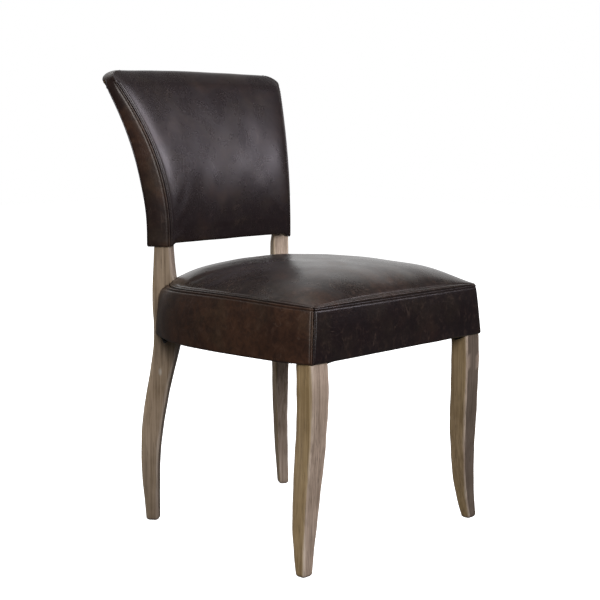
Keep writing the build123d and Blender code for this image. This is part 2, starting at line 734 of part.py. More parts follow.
def back_side_cover():
    """Flat leather panel on the back rest's right side, hanging a little below its front."""
    return back_form(0, 0, BACK_BOTTOM - SIDE_DROP) & beside_plane(LEATHER)


def back_wrap(posts):
    """Leather over the back rest's front, top, rear and bottom, between the side panels."""
    outer = back_form(0, 0, BACK_BOTTOM) & between_sides(LEATHER)
    inner = back_form(LEATHER, LEATHER / 2, BACK_BOTTOM + LEATHER)
    return outer - [inner, *posts]


def outside_back_space():
    """Space that holds the leather of the outside back, up to the rounded top."""
    heights = [BACK_BOTTOM + (NOSE_START - BACK_BOTTOM) * i / BACK_SECTIONS for i in range(BACK_SECTIONS + 1)]
    return behind_back(REAR_TURN_UNDER, heights)


def nail_head():
    """Domed nail head standing on the XY plane."""
    radius = (NAIL_HEAD ** 2 / 4 + NAIL_RISE ** 2) / (2 * NAIL_RISE)
    ball = Pos(0, 0, NAIL_RISE - radius) * Sphere(radius)
    return ball & Pos(0, 0, NAIL_RISE) * Box(2 * NAIL_HEAD, 2 * NAIL_HEAD, 2 * NAIL_RISE)


def nail_heads():
    """Close rows of nails down both edges of the outside back."""
    dome = nail_head()
    row = []
    for z in spread(BACK_BOTTOM + NAIL_FIRST_RISE, NOSE_START, NAIL_PITCH):
        half = side_x(back_rear_y(z))
        x = half - NAIL_EDGE
        y = back_rear_y(z) + rear_bulge(z) * (1 - (x / half) ** 2) + NAIL_LIFT
        across = 2 * rear_bulge(z) * x / half ** 2
        up = (back_rear_y(z + NAIL_HEAD) - back_rear_y(z - NAIL_HEAD)) / (2 * NAIL_HEAD)
        row.append(Plane(origin=(-x, y, z), z_dir=(-across, 1, -up)) * dome)
    return Compound(both_sides(row))


def make_frame():
    """Legs, rails, blocks and their fasteners, by name."""
    fitted_leg = rear_leg(FIT_GAP)
    rear_pair = both_sides([fitted_leg])
    side = side_rail(fitted_leg)
    front = cross_rail(FRONT_RAIL_SETBACK, -front_leg_sides()[1])
    rear = largest(cross_rail(REAR_RAIL_FRONT, -leg_middle(False).X) - rear_pair)[0]
    seat_holes = seat_dowels(FIT_GAP)
    back_holes = back_dowels(FIT_GAP)
    bolts = []
    pieces = {}
    for at_front, name, leg in ((True, "front", front_leg()), (False, "rear", rear_leg())):
        bolts.append(corner_bolt(at_front))
        bolt_hole = corner_bolt(at_front, FIT_GAP)
        block = corner_block(at_front) - [front, rear, side, bolt_hole]
        add_pair(pieces, f"{name}_corner_block", largest(block)[0])
        add_pair(pieces, f"{name}_leg", leg - [bolt_hole, *seat_holes, *back_holes])
    add_pair(pieces, "side_rail", side - seat_holes)
    pieces["front_rail"] = front - both_sides(seat_holes)
    pieces["rear_rail"] = rear - both_sides(seat_holes)
    pieces["corner_bolts"] = Compound(both_sides(bolts))
    pieces["rail_dowels"] = Compound(both_sides(seat_dowels()))
    for name, low in (("bottom", BOTTOM_RAIL_Z), ("top", TOP_RAIL_Z)):
        pieces[f"back_{name}_rail"] = back_rail(low, rear_pair) - both_sides(back_holes)
    pieces["back_rail_dowels"] = Compound(both_sides(back_dowels()))
    return pieces


def make_seat():
    """Webbing, foam, leather and dust cover of the seat, by name."""
    rear_legs = both_sides([rear_leg(COVER_GAP)])
    legs = rear_legs + both_sides([front_leg(COVER_GAP)])
    leather = seat_leather(legs)
    over = above_seam()
    boxing = leather - over
    mitre = front_corner_mitre()
    right, rear, left = largest(boxing - mitre, 3)
    return {
        "seat_webbing_lengthwise": lengthwise_webbing(),
        "seat_webbing_crosswise": crosswise_webbing(),
        "seat_foam": seat_foam(rear_legs),
        "seat_top_cover": largest(leather & over)[0],
        "seat_front_cover": largest(boxing & mitre)[0],
        "seat_side_cover_right": right,
        "seat_side_cover_left": left,
        "seat_rear_cover": rear,
        "dust_cover": dust_cover(legs),
        "dust_cover_staples": dust_cover_staples(),
    }


def make_back():
    """Webbing, foam, leather and nails of the back rest, by name."""
    posts = both_sides([rear_leg(COVER_GAP)])
    wrap = back_wrap(posts)
    rear_space = outside_back_space()
    pieces = {
        "back_webbing": back_webbing(),
        "back_foam": back_foam(posts),
        "back_front_cover": largest(wrap - rear_space)[0],
        "back_rear_cover": largest(wrap & rear_space)[0],
        "nail_heads": nail_heads(),
    }
    add_pair(pieces, "back_side_cover", back_side_cover())
    return pieces


def add_pair(pieces, name, piece):
    """Keep a right-hand piece and its mirror image, each under its own name."""
    pieces[name + "_right"] = piece
    pieces[name + "_left"] = mirrored(piece)


def main():
    """Make every piece, centre the chair front to back and write one file for each piece."""
    pieces = {**make_frame(), **make_seat(), **make_back()}
    boxes = [piece.bounding_box() for piece in pieces.values()]
    middle = (min(box.min.Y for box in boxes) + max(box.max.Y for box in boxes)) / 2
    os.makedirs("parts", exist_ok=True)
    for name, piece in pieces.items():
        export_step(Pos(0, -middle, 0) * piece, f"parts/{name}.step")
    print(f"Seat front at Y = {-middle:.2f} mm")


main()
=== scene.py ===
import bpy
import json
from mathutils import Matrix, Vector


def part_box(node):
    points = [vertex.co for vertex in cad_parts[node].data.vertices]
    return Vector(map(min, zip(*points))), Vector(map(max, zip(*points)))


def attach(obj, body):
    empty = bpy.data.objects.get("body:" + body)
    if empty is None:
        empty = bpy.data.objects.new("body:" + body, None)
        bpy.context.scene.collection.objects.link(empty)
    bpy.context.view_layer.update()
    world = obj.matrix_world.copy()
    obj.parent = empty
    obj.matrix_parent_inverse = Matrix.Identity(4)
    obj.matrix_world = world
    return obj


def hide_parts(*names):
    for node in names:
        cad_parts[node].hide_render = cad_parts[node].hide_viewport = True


bl_info = {
    "name": "Leather Side Chair",
    "version": (1, 0, 0),
    "blender": (4, 5, 0),
    "location": "View3D > Sidebar > Chair",
    "description": "Sewn leather, weathered legs and a plain studio for a side chair",
    "category": "Add Mesh",
}

import json
import math

import bmesh
import bpy
import numpy as np
from mathutils import Vector

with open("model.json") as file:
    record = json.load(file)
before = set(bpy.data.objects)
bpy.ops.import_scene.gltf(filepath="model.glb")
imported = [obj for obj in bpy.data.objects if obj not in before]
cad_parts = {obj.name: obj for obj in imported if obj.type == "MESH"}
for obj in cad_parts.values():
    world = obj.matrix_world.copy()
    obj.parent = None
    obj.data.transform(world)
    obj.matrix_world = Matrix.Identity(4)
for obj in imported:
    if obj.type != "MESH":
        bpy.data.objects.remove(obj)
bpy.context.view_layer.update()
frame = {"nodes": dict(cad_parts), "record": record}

# All pieces are worked out in metres with Y = 0 at the front of the seat and
# are moved back by SEAT_FRONT when their mesh is made. The chair faces -Y.

# Seat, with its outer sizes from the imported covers
FRONT_EASE = 0.0005
SEAT_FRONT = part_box("seat_front_cover")[0].y
SEAT_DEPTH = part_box("seat_rear_cover")[1].y - SEAT_FRONT
SEAT_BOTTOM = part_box("seat_front_cover")[0].z
SEAM_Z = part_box("seat_rear_cover")[1].z
SEAT_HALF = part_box("seat_side_cover_left")[1].x
SEAT_FRONT_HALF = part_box("seat_front_cover")[1].x - FRONT_EASE
SEAM_RISE = 0.007
WIDEST_Y = 0.110
REAR_DRAW = 0.072
WALL_LEAN = 0.010
FRONT_LEAN = 0.004
SHOULDER_START = 0.33
SHOULDER_END = 0.42
SHOULDER_LOW = 0.003
SHOULDER_TOP = 0.019
CORNER_REACH = 0.007
CUSHION_DEPTH = 0.025
CUSHION_DRAW = 0.975

# Back rest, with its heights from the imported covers
BACK_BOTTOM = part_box("back_front_cover")[0].z
BACK_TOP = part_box("back_front_cover")[1].z
SIDE_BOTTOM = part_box("back_side_cover_left")[0].z
BACK_SEAM_X = 0.167
BACK_SEAM_Y = SEAT_DEPTH - 0.030
BACK_LEAN = 0.079
LEAN_START = BACK_BOTTOM + 0.021
LEAN_SPAN = 0.275
BACK_THICKNESS = 0.038
BACK_THINNING = 0.016
THINNING_START = BACK_BOTTOM + 0.102
THINNING_SPAN = 0.200
REAR_EASE = 0.0005
REAR_BULGE = 0.024
REAR_FLATTENING = 0.010
NOSE_HEIGHT = 0.024
NOSE_START = BACK_TOP - NOSE_HEIGHT
NOSE_ROUND = 0.0086
ROLL_OVERLAP = 0.004
ROLL_LIFT = 0.009
CORNER = 0.036
TOP_ARCH = 0.003
BOTTOM_FADE = 0.03
UNDER_ANGLES = np.radians([90, 60, 30])
UNDER_ROWS = 1 + len(UNDER_ANGLES)
UNDER_ROLL = 0.004
UNDER_HEM = 0.010
TURN = math.radians(34)

# Rear posts, across their turned plank
POST_OUTER = 0.004
POST_INNER = 0.036
POST_FRONT = -0.018
POST_WAIST = -0.008
CLEAR = 0.0008

# Legs
FOOT_HEIGHTS = np.array([0.0003, 0.0009, 0.0018, 0.0030, 0.0044, 0.0057])
SHAFT_START = 0.0085
SHAFT_STEP = 0.009
SHAFT_INSET = 0.0006
ARRIS = 0.0032
ARRIS_ANGLES = np.radians([0, 18, 36, 54, 72, 90])
FLAT_PLACES = np.array([0, 0.06, 0.35, 0.65, 0.94])
FRONT_LEG_ROUND = 0.008
POST_ROUND = 0.011
POST_ROUND_START = BACK_BOTTOM - 0.014
ROUND_RISE = 0.010
# Heights at which each leg's painted light is given: how far painted shade darkens it
PAINTED_LIGHT_HEIGHTS = np.array([0.06, 0.25, 0.50])

# Leather and its seams
LEATHER = 0.0016
ROLL = 0.005
HEM = 0.018
GROOVE = 0.0016
GROOVE_WIDTH = 0.0009
RIDGE = 0.00035
RIDGE_PLACE = 0.0027
RIDGE_WIDTH = 0.0013
STITCH_ROW = 0.0052
STITCH_DEPTH = 0.0010
STITCH_WIDTH = 0.0011
STITCH_RADIUS = 0.0006
STITCH_CLEARANCE = 0.004
SEAM_STEPS = np.array([
    0, 0.5, 1.0, 1.6, 2.3, 3.0, 3.7, 4.4, 5.2, 6.0, 6.9, 8.0, 10.0, 13.0, 17.0, 22.0]) / 1000
STITCH_COLUMN = int(np.argmin(np.abs(SEAM_STEPS - STITCH_ROW)))
STEP = 0.0065
SEAT_UNEVEN = 0.0012
BOXING_UNEVEN = 0.0006
BACK_UNEVEN = 0.0005
REAR_UNEVEN = 0.0008
LEG_UNEVEN = 0.00035

# Cloth simulation of the two cushions
PRESSURE = 4.0
STIFFNESS = 25.0
BENDING = 1.0
CLOTH_FRAMES = 20
SEAT_GRID = 49
BACK_GRID = 41
SEAT_SLACK = 0.93
BACK_SWELL = 0.6

# Directions
UP = np.array([0, 0, 1.0])
FRONT = np.array([0, -1.0, 0])
LEFT = np.array([1.0, 0, 0])
BACK_FACE = np.array([0, -1.0, 0.2])
BACK_SIDE = np.array([math.cos(TURN), -math.sin(TURN), 0.0])
SIDES = ((-1, "right"), (1, "left"))

# Photograph's camera, its lens and sensor in mm
PHOTO_AZIMUTH = math.radians(-47.74)
PHOTO_ELEVATION = math.radians(7.32)
PHOTO_DISTANCE = 2.8266
PHOTO_TARGET = Vector((0.1783, SEAT_FRONT + 0.411, 0.4))
PHOTO_LENS = 81.66
PHOTO_SENSOR = 36.0

# Studio
LAMP_TARGET = Vector((0, 0, 0.42))
FLOOR_HALF = 9
SKY_LIGHT = 0.14


def length_property(title, words, size, most, least=0.0):
    """A length that the panel shows."""
    return bpy.props.FloatProperty(
        name=title, description=words, default=size, min=least, max=most, unit="LENGTH")


def colour_property(title, words, red, green, blue):
    """A colour that the panel shows."""
    return bpy.props.FloatVectorProperty(
        name=title, description=words, subtype="COLOR", size=4, default=(red, green, blue, 1))


class ChairSizes(bpy.types.PropertyGroup):
    """Sizes of the soft forms that a user may want to change."""

    crown: length_property("Crown", "Rise of the seat's middle above its edge roll", 0.038, 0.08)
    edge_roll: length_property("Edge Roll", "Rise of the seat just inside its top seam", 0.008, 0.02)
    boxing_bulge: length_property("Boxing Bulge", "How far the seat's side panels swell", 0.003, 0.008)
    back_hollow: length_property(
        "Back Hollow", "How far the middle of the back's front lies behind its seams", 0.008, 0.02)
    back_puff: length_property(
        "Back Puff", "How far the back's front swells beside its seams", 0.008, 0.012)
    stitch_pitch: length_property("Stitch Pitch", "Distance from stitch to stitch", 0.0062, 0.012, 0.003)
    swell: length_property("Swell", "Most that the simulated leather may move", 0.0045, 0.016)


class ChairColours(bpy.types.PropertyGroup):
    """Colours of the finishes."""

    leather_dark: colour_property("Dark Leather", "Deep chocolate of the hide", 0.0108, 0.0068, 0.0072)
    leather_warm: colour_property("Warm Leather", "Rusty patches of the hide", 0.056, 0.0235, 0.0115)
    leather_olive: colour_property("Olive Leather", "Dull clouds of the hide", 0.032, 0.0235, 0.0135)
    leather_worn: colour_property("Worn Leather", "Rubbed ridges and scratches", 0.095, 0.062, 0.046)
    wood_light: colour_property("Light Wood", "Weathered grey of the legs", 0.480, 0.372, 0.298)
    wood_dark: colour_property("Dark Wood", "Brown grain of the legs", 0.150, 0.106, 0.073)
    thread: colour_property("Thread", "Stitches", 0.012, 0.008, 0.007)


class Shade:
    """A node socket that takes part in plain Python sums."""

    def __init__(self, tree, socket=None):
        self.tree = tree
        self.socket = socket

    def node(self, kind, settings=None, sockets=None, out=0):
        """Any node, with its settings first and then its sockets' values or links."""
        made = self.tree.nodes.new(kind)
        for name, value in (settings or {}).items():
            setattr(made, name, value)
        for name, value in (sockets or {}).items():
            if isinstance(value, Shade):
                self.tree.links.new(value.socket, made.inputs[name])
            else:
                made.inputs[name].default_value = value
        return Shade(self.tree, made.outputs[out])

    def maths(self, operation, first, second):
        return self.node("ShaderNodeMath", {"operation": operation}, {0: first, 1: second})

    def __add__(self, other):
        return self.maths("ADD", self, other)

    def __sub__(self, other):
        return self.maths("SUBTRACT", self, other)

    def __rsub__(self, other):
        return self.maths("SUBTRACT", other, self)

    def __mul__(self, other):
        return self.maths("MULTIPLY", self, other)

    def __abs__(self):
        return self.maths("ABSOLUTE", self, 0.0)

    __radd__ = __add__
    __rmul__ = __mul__

    def most(self, other):
        return self.maths("MAXIMUM", self, other)

    def between(self, low, high):
        """0 below low, 1 above high and smooth between them."""
        return self.node("ShaderNodeMapRange", {"interpolation_type": "SMOOTHSTEP"},
                         {"Value": self, "From Min": low, "From Max": high})

    def blend(self, first, second):
        """First colour where this is 0 and second where it is 1."""
        return self.node("ShaderNodeMix", {"data_type": "RGBA"}, {0: self, 6: first, 7: second}, 2)

    def lines(self, width):
        """1 along the thin lines where this is a half."""
        return 1.0 - abs(self - 0.5).between(0.0, width)

    def vector(self, operation, x, y, z, out=0):
        """This vector taken together with another one."""
        return self.node("ShaderNodeVectorMath", {"operation": operation}, {0: self, 1: (x, y, z)}, out)

    def noise(self, scale, detail, roughness, distortion=0.0):
        """Cloudy noise at this place."""
        return self.node("ShaderNodeTexNoise", None,
                         {"Vector": self, "Scale": scale, "Detail": detail, "Roughness": roughness,
                          "Distortion": distortion})

    def streaks(self, across, upright, detail, roughness, distortion=0.0):
        """Noise with one scale across and another upright."""
        return self.vector("MULTIPLY", across, across, upright).noise(1.0, detail, roughness, distortion)

    def cells(self, scale):
        """Distance in a field of cells at this place."""
        return self.node("ShaderNodeTexVoronoi", None, {"Vector": self, "Scale": scale})

    def attribute(self, name):
        """A value that the mesh carries at each vertex."""
        return self.node("ShaderNodeAttribute", {"attribute_name": name}, out="Fac")

    def bump(self, height, distance):
        """A normal that follows a height from 0 to 1, over this distance."""
        return self.node("ShaderNodeBump", None, {"Height": height, "Distance": distance, "Strength": 1.0})


def new_material(name, shader_values):
    """A material with one main shader. Gives the place that its textures start from, and the shader."""
    material = bpy.data.materials.new("chair_" + name)
    material.use_nodes = True
    tree = material.node_tree
    shader = tree.nodes["Principled BSDF"]
    for socket, value in shader_values.items():
        shader.inputs[socket].default_value = value
    return Shade(tree).node("ShaderNodeTexCoord", out="Object"), shader


def material_named(name):
    return bpy.data.materials["chair_" + name]


def feed(shader, **links):
    """Link shader sums to sockets of the main shader."""
    names = {"colour": "Base Color", "roughness": "Roughness", "normal": "Normal", "metallic": "Metallic",
             "glow": "Emission Color"}
    for key, value in links.items():
        value.tree.links.new(value.socket, shader.inputs[names[key]])


def leather_material(name, colours, base, warmth, wear, gloss, sheen, relief):
    """Aged, waxed hide: softly clouded, scratched, rubbed along its ridges, with painted shade in its
    creases.
    """
    place, shader = new_material(name, {"Specular IOR Level": 0.36, "Specular Tint": sheen})
    place = place.vector("ADD", 0, -0.12, 0)
    soot = (0.003, 0.002, 0.002, 1)
    # painted shade colour for the seam creases
    crease_shade_colour = (0.003, 0.002, 0.0018, 1)
    clouds = place.noise(9.0, 3.0, 0.55, 0.5)
    mottle = place.noise(34.0, 4.0, 0.6, 0.3)
    olive = place.noise(13.0, 3.0, 0.55, 0.4)
    speckle = place.noise(420.0, 2.0, 0.6)
    blotches = place.noise(78.0, 4.0, 0.65, 0.9)
    vein_patches = place.noise(23.0, 2.0, 0.5).between(0.48, 0.68)
    veins = place.noise(16.0, 3.0, 0.6, 1.6).lines(0.014) * vein_patches
    scratch_patches = place.noise(31.0, 2.0, 0.5).between(0.5, 0.7)
    scratches = place.streaks(95.0, 12.0, 2.0, 0.6, 0.8).lines(0.02) * scratch_patches
    lines = (veins * 0.45).most(scratches * 0.5)
    crease = place.attribute("crease")
    rub = place.attribute("rub")
    rust = clouds.between(0.52 - 0.3 * warmth, 0.75 - 0.2 * warmth) * (0.12 + 0.8 * warmth)
    hide = rust.blend(base, colours.leather_warm)
    cloudy = (olive.between(0.42, 0.68) * (0.2 + 0.25 * warmth)).blend(hide, colours.leather_olive)
    dark = (0.6 * (1.0 - mottle.between(0.34, 0.58))).blend(cloudy, base)
    blotched = (blotches.between(0.56, 0.36) * 0.6 * wear).blend(dark, soot)
    rubbed = (lines * wear).most(rub * 0.05) + speckle.between(0.62, 0.8) * 0.05 * wear
    faded = rubbed.most(blotches.between(0.55, 0.72) * 0.30 * wear)
    worn = faded.blend(blotched, colours.leather_worn)
    # painted shade: darkens the leather in its seam creases, by how deep the groove is
    crease_shaded = (crease * 0.55).blend(worn, crease_shade_colour)
    rough = gloss + 0.10 * (mottle - 0.5) + 0.12 * (clouds - 0.5) + 0.1 * lines + 0.15 * crease
    creases = place.noise(170.0, 3.0, 0.6)
    swells = place.noise(26.0, 2.0, 0.5)
    height = place.cells(620.0) * 0.18 + creases * 0.25 + swells * 1.2 - lines * 0.2
    feed(shader, colour=crease_shaded, roughness=rough, normal=place.bump(height, relief))


def wood_material(name, light, dark, weathered=True):
    """Weathered hardwood with upright grain, open pores, painted shade that makes faces looking sideways
    yellower and darker, painted shade by leg, and paler rubbed edges.
    """
    place, shader = new_material(name, {"Specular IOR Level": 0.22})
    bands = place.streaks(150.0, 4.0, 3.0, 0.6, 0.7)
    fibres = place.streaks(380.0, 6.0, 3.0, 0.65)
    flecks = place.streaks(800.0, 20.0, 2.0, 0.5).between(0.58, 0.72)
    stains = place.noise(11.0, 3.0, 0.6).between(0.4, 0.7)
    tone = 0.36 * bands.between(0.32, 0.68) + 0.34 * fibres.between(0.3, 0.7) + 0.25 * stains
    colour = tone.blend(light, dark)
    # the weathered look also carries painted shade on the sides and on each leg
    if weathered:
        drift = place.streaks(16.0, 2.5, 2.0, 0.5)
        # painted shade: faces that look along X are given a yellower, darker colour by their normal
        facing = place.node("ShaderNodeTexCoord", out="Normal")
        side_shade_mask = abs(facing.vector("DOT_PRODUCT", 1, 0, 0, "Value")).between(0.72, 0.98)
        side_shade_colour = tone.blend((0.45, 0.305, 0.112, 1), (0.19, 0.115, 0.036, 1))
        colour = (side_shade_mask * (0.35 + 0.6 * drift)).blend(colour, side_shade_colour)
        bleached = drift.between(0.5, 0.75) * bands.between(0.52, 0.3) * 0.35
        colour = bleached.blend(colour, (0.50, 0.43, 0.35, 1))
        squash = 0.45
        squashed = place.vector("MULTIPLY", 1, 1, squash)
        flaw = squashed.vector("DISTANCE", -0.177, SEAT_FRONT + 0.449, squash * 0.292, "Value")
        colour = (flaw.between(0.0048, 0.002) * 0.6).blend(colour, (0.6, 0.55, 0.48, 1))
        patchy = place.attribute("arris") * place.streaks(60.0, 9.0, 3.0, 0.6).between(0.3, 0.65)
        colour = (patchy * 0.45).blend(colour, (0.60, 0.50, 0.41, 1))
        # painted shade: the 'tone' mark darkens each leg by its painted light, by height and by face
        colour = place.attribute("tone").blend((0.02, 0.014, 0.009, 1), colour)
    colour = (flecks * 0.45).blend(colour, (0.05, 0.034, 0.022, 1))
    rough = 0.55 + 0.15 * bands + 0.1 * flecks
    height = fibres * 0.5 + bands * 0.3 - flecks * 0.6
    feed(shader, colour=colour, roughness=rough, normal=place.bump(height, 0.0005))


def cloth_material(name, first, second, threads):
    """Plain woven cloth."""
    place, shader = new_material(name, {"Specular IOR Level": 0.15})
    across, along = [
        place.node("ShaderNodeTexWave", {"bands_direction": axis}, {"Vector": place, "Scale": threads}, 1)
        for axis in "XY"]
    weave = across * 0.5 + along * 0.5
    dirt = place.noise(18.0, 3.0, 0.6)
    colour = (weave * 0.6 + dirt * 0.4).blend(first, second)
    feed(shader, colour=colour, roughness=0.8 + 0.15 * dirt, normal=place.bump(weave, 0.0003))


def thread_material(colours):
    """Waxed thread, mottled with worn fibres."""
    place, shader = new_material("thread", {"Specular IOR Level": 0.2})
    twist = place.noise(900.0, 2.0, 0.5)
    colour = (twist.between(0.3, 0.7) * 0.4).blend(colours.thread, colours.leather_worn)
    feed(shader, colour=colour, roughness=0.55 + 0.2 * twist)


def metal_material(name, bright, tarnished, roughness):
    """Plated metal with dull spots."""
    place, shader = new_material(name, {"Specular IOR Level": 0.5})
    spots = place.noise(260.0, 3.0, 0.6)
    colour = spots.between(0.35, 0.65).blend(bright, tarnished)
    metal = 1.0 - 0.35 * spots.between(0.5, 0.7)
    feed(shader, colour=colour, roughness=roughness + 0.25 * spots, metallic=metal)


def unit(vectors):
    """Vectors at length 1."""
    return vectors / np.maximum(np.linalg.norm(vectors, axis=-1, keepdims=True), 1e-9)


def ramp(value, low, high):
    """0 at low, 1 at high and straight between them."""
    return np.clip((value - low) / (high - low), 0, 1)


def grid_normals(points, outward):
    """Surface normals of a grid of points, on the side that outward points to."""
    normals = unit(np.cross(np.gradient(points, axis=0), np.gradient(points, axis=1)))
    if (normals @ outward).mean() < 0:
        normals = -normals
    return normals


def grid_faces(rows, columns):
    """Quads of a grid, by vertex number."""
    index = np.arange(rows * columns).reshape(rows, columns)
    quads = np.stack([index[:-1, :-1], index[:-1, 1:], index[1:, 1:], index[1:, :-1]], -1)
    return quads.reshape(-1, 4)


def tube_faces(rings, around, first=0):
    """Quads round a tube of rings and its two ends, by vertex number."""
    faces = []
    for ring in range(rings - 1):
        for k in range(around):
            a = first + ring * around + k
            b = first + ring * around + (k + 1) % around
            faces.append((a, b, b + around, a + around))
    faces.append(tuple(first + k for k in range(around - 1, -1, -1)))
    faces.append(tuple(first + (rings - 1) * around + k for k in range(around)))
    return faces


def new_object(name, data):
    """An object in the scene."""
    made = bpy.data.objects.new(name, data)
    bpy.context.scene.collection.objects.link(made)
    return made


def new_piece(name, points, faces, attributes=None):
    """A smooth mesh object in the chair's frame."""
    mesh = bpy.data.meshes.new(name)
    placed = np.asarray(points, float).reshape(-1, 3) + (0.0, SEAT_FRONT, 0.0)
    mesh.from_pydata(placed.tolist(), [], [list(face) for face in faces])
    for key, values in (attributes or {}).items():
        layer = mesh.attributes.new(key, "FLOAT", "POINT")
        layer.data.foreach_set("value", np.asarray(values, np.float32).ravel())
    mesh.shade_smooth()
    return new_object(name, mesh)


def grid_piece(name, points, outward, attributes=None):
    """A sheet of quads through a grid of points, facing outward."""
    faces = grid_faces(*points.shape[:2])
    flat = points.reshape(-1, 3)
    first = flat[faces[:, 1]] - flat[faces[:, 0]]
    second = flat[faces[:, 2]] - flat[faces[:, 0]]
    if (np.cross(first, second) @ outward).sum() < 0:
        faces = faces[:, ::-1]
    return new_piece(name, points, faces, attributes)


def dress(piece, material, slot, *replaced):
    """Give a piece its material, let it ride and hide what it stands for."""
    piece.data.materials.clear()
    piece.data.materials.append(material_named(material))
    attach(piece, "root")
    if replaced:
        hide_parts(*replaced)


def thicken(piece, thickness=LEATHER):
    """Give a sheet its thickness, on its inner side."""
    shell = piece.modifiers.new("thickness", "SOLIDIFY")
    shell.thickness = thickness
    shell.offset = -1.0


def leather_panel(name, points, outward, marks, material, *replaced):
    """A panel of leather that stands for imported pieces. Gives the piece and its normals."""
    piece = grid_piece(name, points, outward, marks)
    thicken(piece)
    dress(piece, material, "leather", *replaced)
    return piece, grid_normals(points, outward)


def edge_places(length, start_sewn=True, end_sewn=True):
    """Places along a length, close together beside sewn edges."""
    start = SEAM_STEPS if start_sewn else np.array([0.0])
    end = length - SEAM_STEPS[::-1] if end_sewn else np.array([length])
    gap = end[0] - start[-1]
    count = max(2, round(gap / STEP))
    middle = start[-1] + gap * np.arange(1, count) / count
    return np.concatenate([start, middle, end])


def seam_depth(distance):
    """How deep the leather lies beside a seam: a join, a ridge and a row of stitches."""
    join = GROOVE * np.exp(-(distance / GROOVE_WIDTH) ** 2)
    ridge = RIDGE * np.exp(-((distance - RIDGE_PLACE) / RIDGE_WIDTH) ** 2)
    stitches = STITCH_DEPTH * np.exp(-((distance - STITCH_ROW) / STITCH_WIDTH) ** 2)
    return join - ridge + stitches


def unevenness(points, size):
    """Soft unevenness of stretched leather or worn wood, by place."""
    x, y, z = points[..., 0], points[..., 1], points[..., 2]
    wave = np.sin(31 * x + 17 * y - 23 * z + 1.3) + np.sin(-19 * x + 37 * y + 29 * z)
    wave += 0.6 * np.sin(61 * x - 47 * y + 53 * z + 0.7) + 0.4 * np.sin(83 * x + 71 * y - 91 * z + 2.1)
    return size * wave / 3


def sewn(points, outward, seams, uneven=BOXING_UNEVEN):
    """Draw leather in along its seams, each a distance and the way that the other panel faces.

    Gives the points, and where the leather is creased and rubbed.
    """
    calm_reach, pull_reach = 0.02, 0.0025
    normals = grid_normals(points, outward)
    outward = unit(outward)
    own = normals + ramp(normals @ outward, 0.5, 0.9)[..., None] * (outward - normals)
    calm = np.ones(points.shape[:2])
    for distance, _ in seams:
        calm = np.minimum(calm, ramp(distance, 0, calm_reach))
    moved = points + normals * (unevenness(points, uneven) * calm)[..., None]
    crease = np.zeros(points.shape[:2])
    rub = np.zeros(points.shape[:2])
    for distance, other in seams:
        depth = seam_depth(distance)
        share = np.exp(-distance / pull_reach)[..., None]
        pull = unit((1 - share) * normals + share * (own + unit(other)))
        moved = moved - depth[..., None] * pull
        # the crease mark also says where painted shade darkens the seam grooves
        crease = np.maximum(crease, depth / GROOVE)
        rub = np.maximum(rub, -depth / RIDGE)
    return moved, {"crease": crease.clip(0, 1), "rub": rub.clip(0, 1)}


def seat_half(y):
    """Half width of the seat at its lower edge."""
    draw = SEAT_HALF - SEAT_FRONT_HALF
    front = SEAT_HALF - draw * (1 - y / WIDEST_Y) ** 2
    share = np.clip((y - WIDEST_Y) / (SEAT_DEPTH - WIDEST_Y), 0, None)
    return np.where(y < WIDEST_Y, front, SEAT_HALF - REAR_DRAW * share ** 3.5)


def seam_z(y):
    """Height of the seat's top seam."""
    return SEAM_Z + SEAM_RISE * np.sin(np.pi * ramp(y, 0, SEAT_DEPTH))


def shoulder(y, share):
    """How far the seat's rear corners draw in beside the posts, most of all at the top seam."""
    grown = ramp(y, SHOULDER_START, SHOULDER_END) ** 2
    return grown * (SHOULDER_LOW + SHOULDER_TOP * ramp(share, 0, 1) ** 12)


def seat_edge(y):
    """Half width of the seat at its top seam."""
    return seat_half(y) - WALL_LEAN - shoulder(y, 1.0)


def corner_draw(distance, share):
    """How far the seat's front corners draw in, by distance along the leather and share of its wall."""
    share = ramp(share, 0, 1)
    return (0.0008 + 0.0020 * share + 0.0014 * share ** 9) * np.exp(-distance / CORNER_REACH)


def turned_plane_x(y, inward):
    """Half width of the plane of a post's plank, moved inward."""
    return BACK_SEAM_X + (y - BACK_SEAM_Y) * math.tan(TURN) - inward / math.cos(TURN)


def crown(across, along, sizes):
    """Rise of the seat's top above its seam, from -1 to 1 across and front to rear."""
    roll = sizes.edge_roll * (1 - np.abs(across) ** 14) * (1 - np.abs(along) ** 14)
    front = 1 - np.abs(along) ** 6
    rear = 1 - 0.73 * np.abs(along) ** 4 - 0.27 * np.abs(along) ** 30
    return roll + sizes.crown * (1 - np.abs(across) ** 3.0) * np.where(along < 0, front, rear)


def seat_top_points(across, along, sizes, fullness=1.0):
    """Points of the seat's top at places across and along it, each from -1 to 1."""
    t, s = np.meshgrid(along, across, indexing="ij")
    y = FRONT_LEAN + (SEAT_DEPTH - FRONT_LEAN) * (t + 1) / 2
    edge = seat_edge(y)
    right = corner_draw((1 + s) * edge + y - FRONT_LEAN, 1.0)
    left = corner_draw((1 - s) * edge + y - FRONT_LEAN, 1.0)
    z = seam_z(y) + fullness * crown(s, t, sizes)
    return np.stack([s * edge + right - left, y + right + left, z], -1)


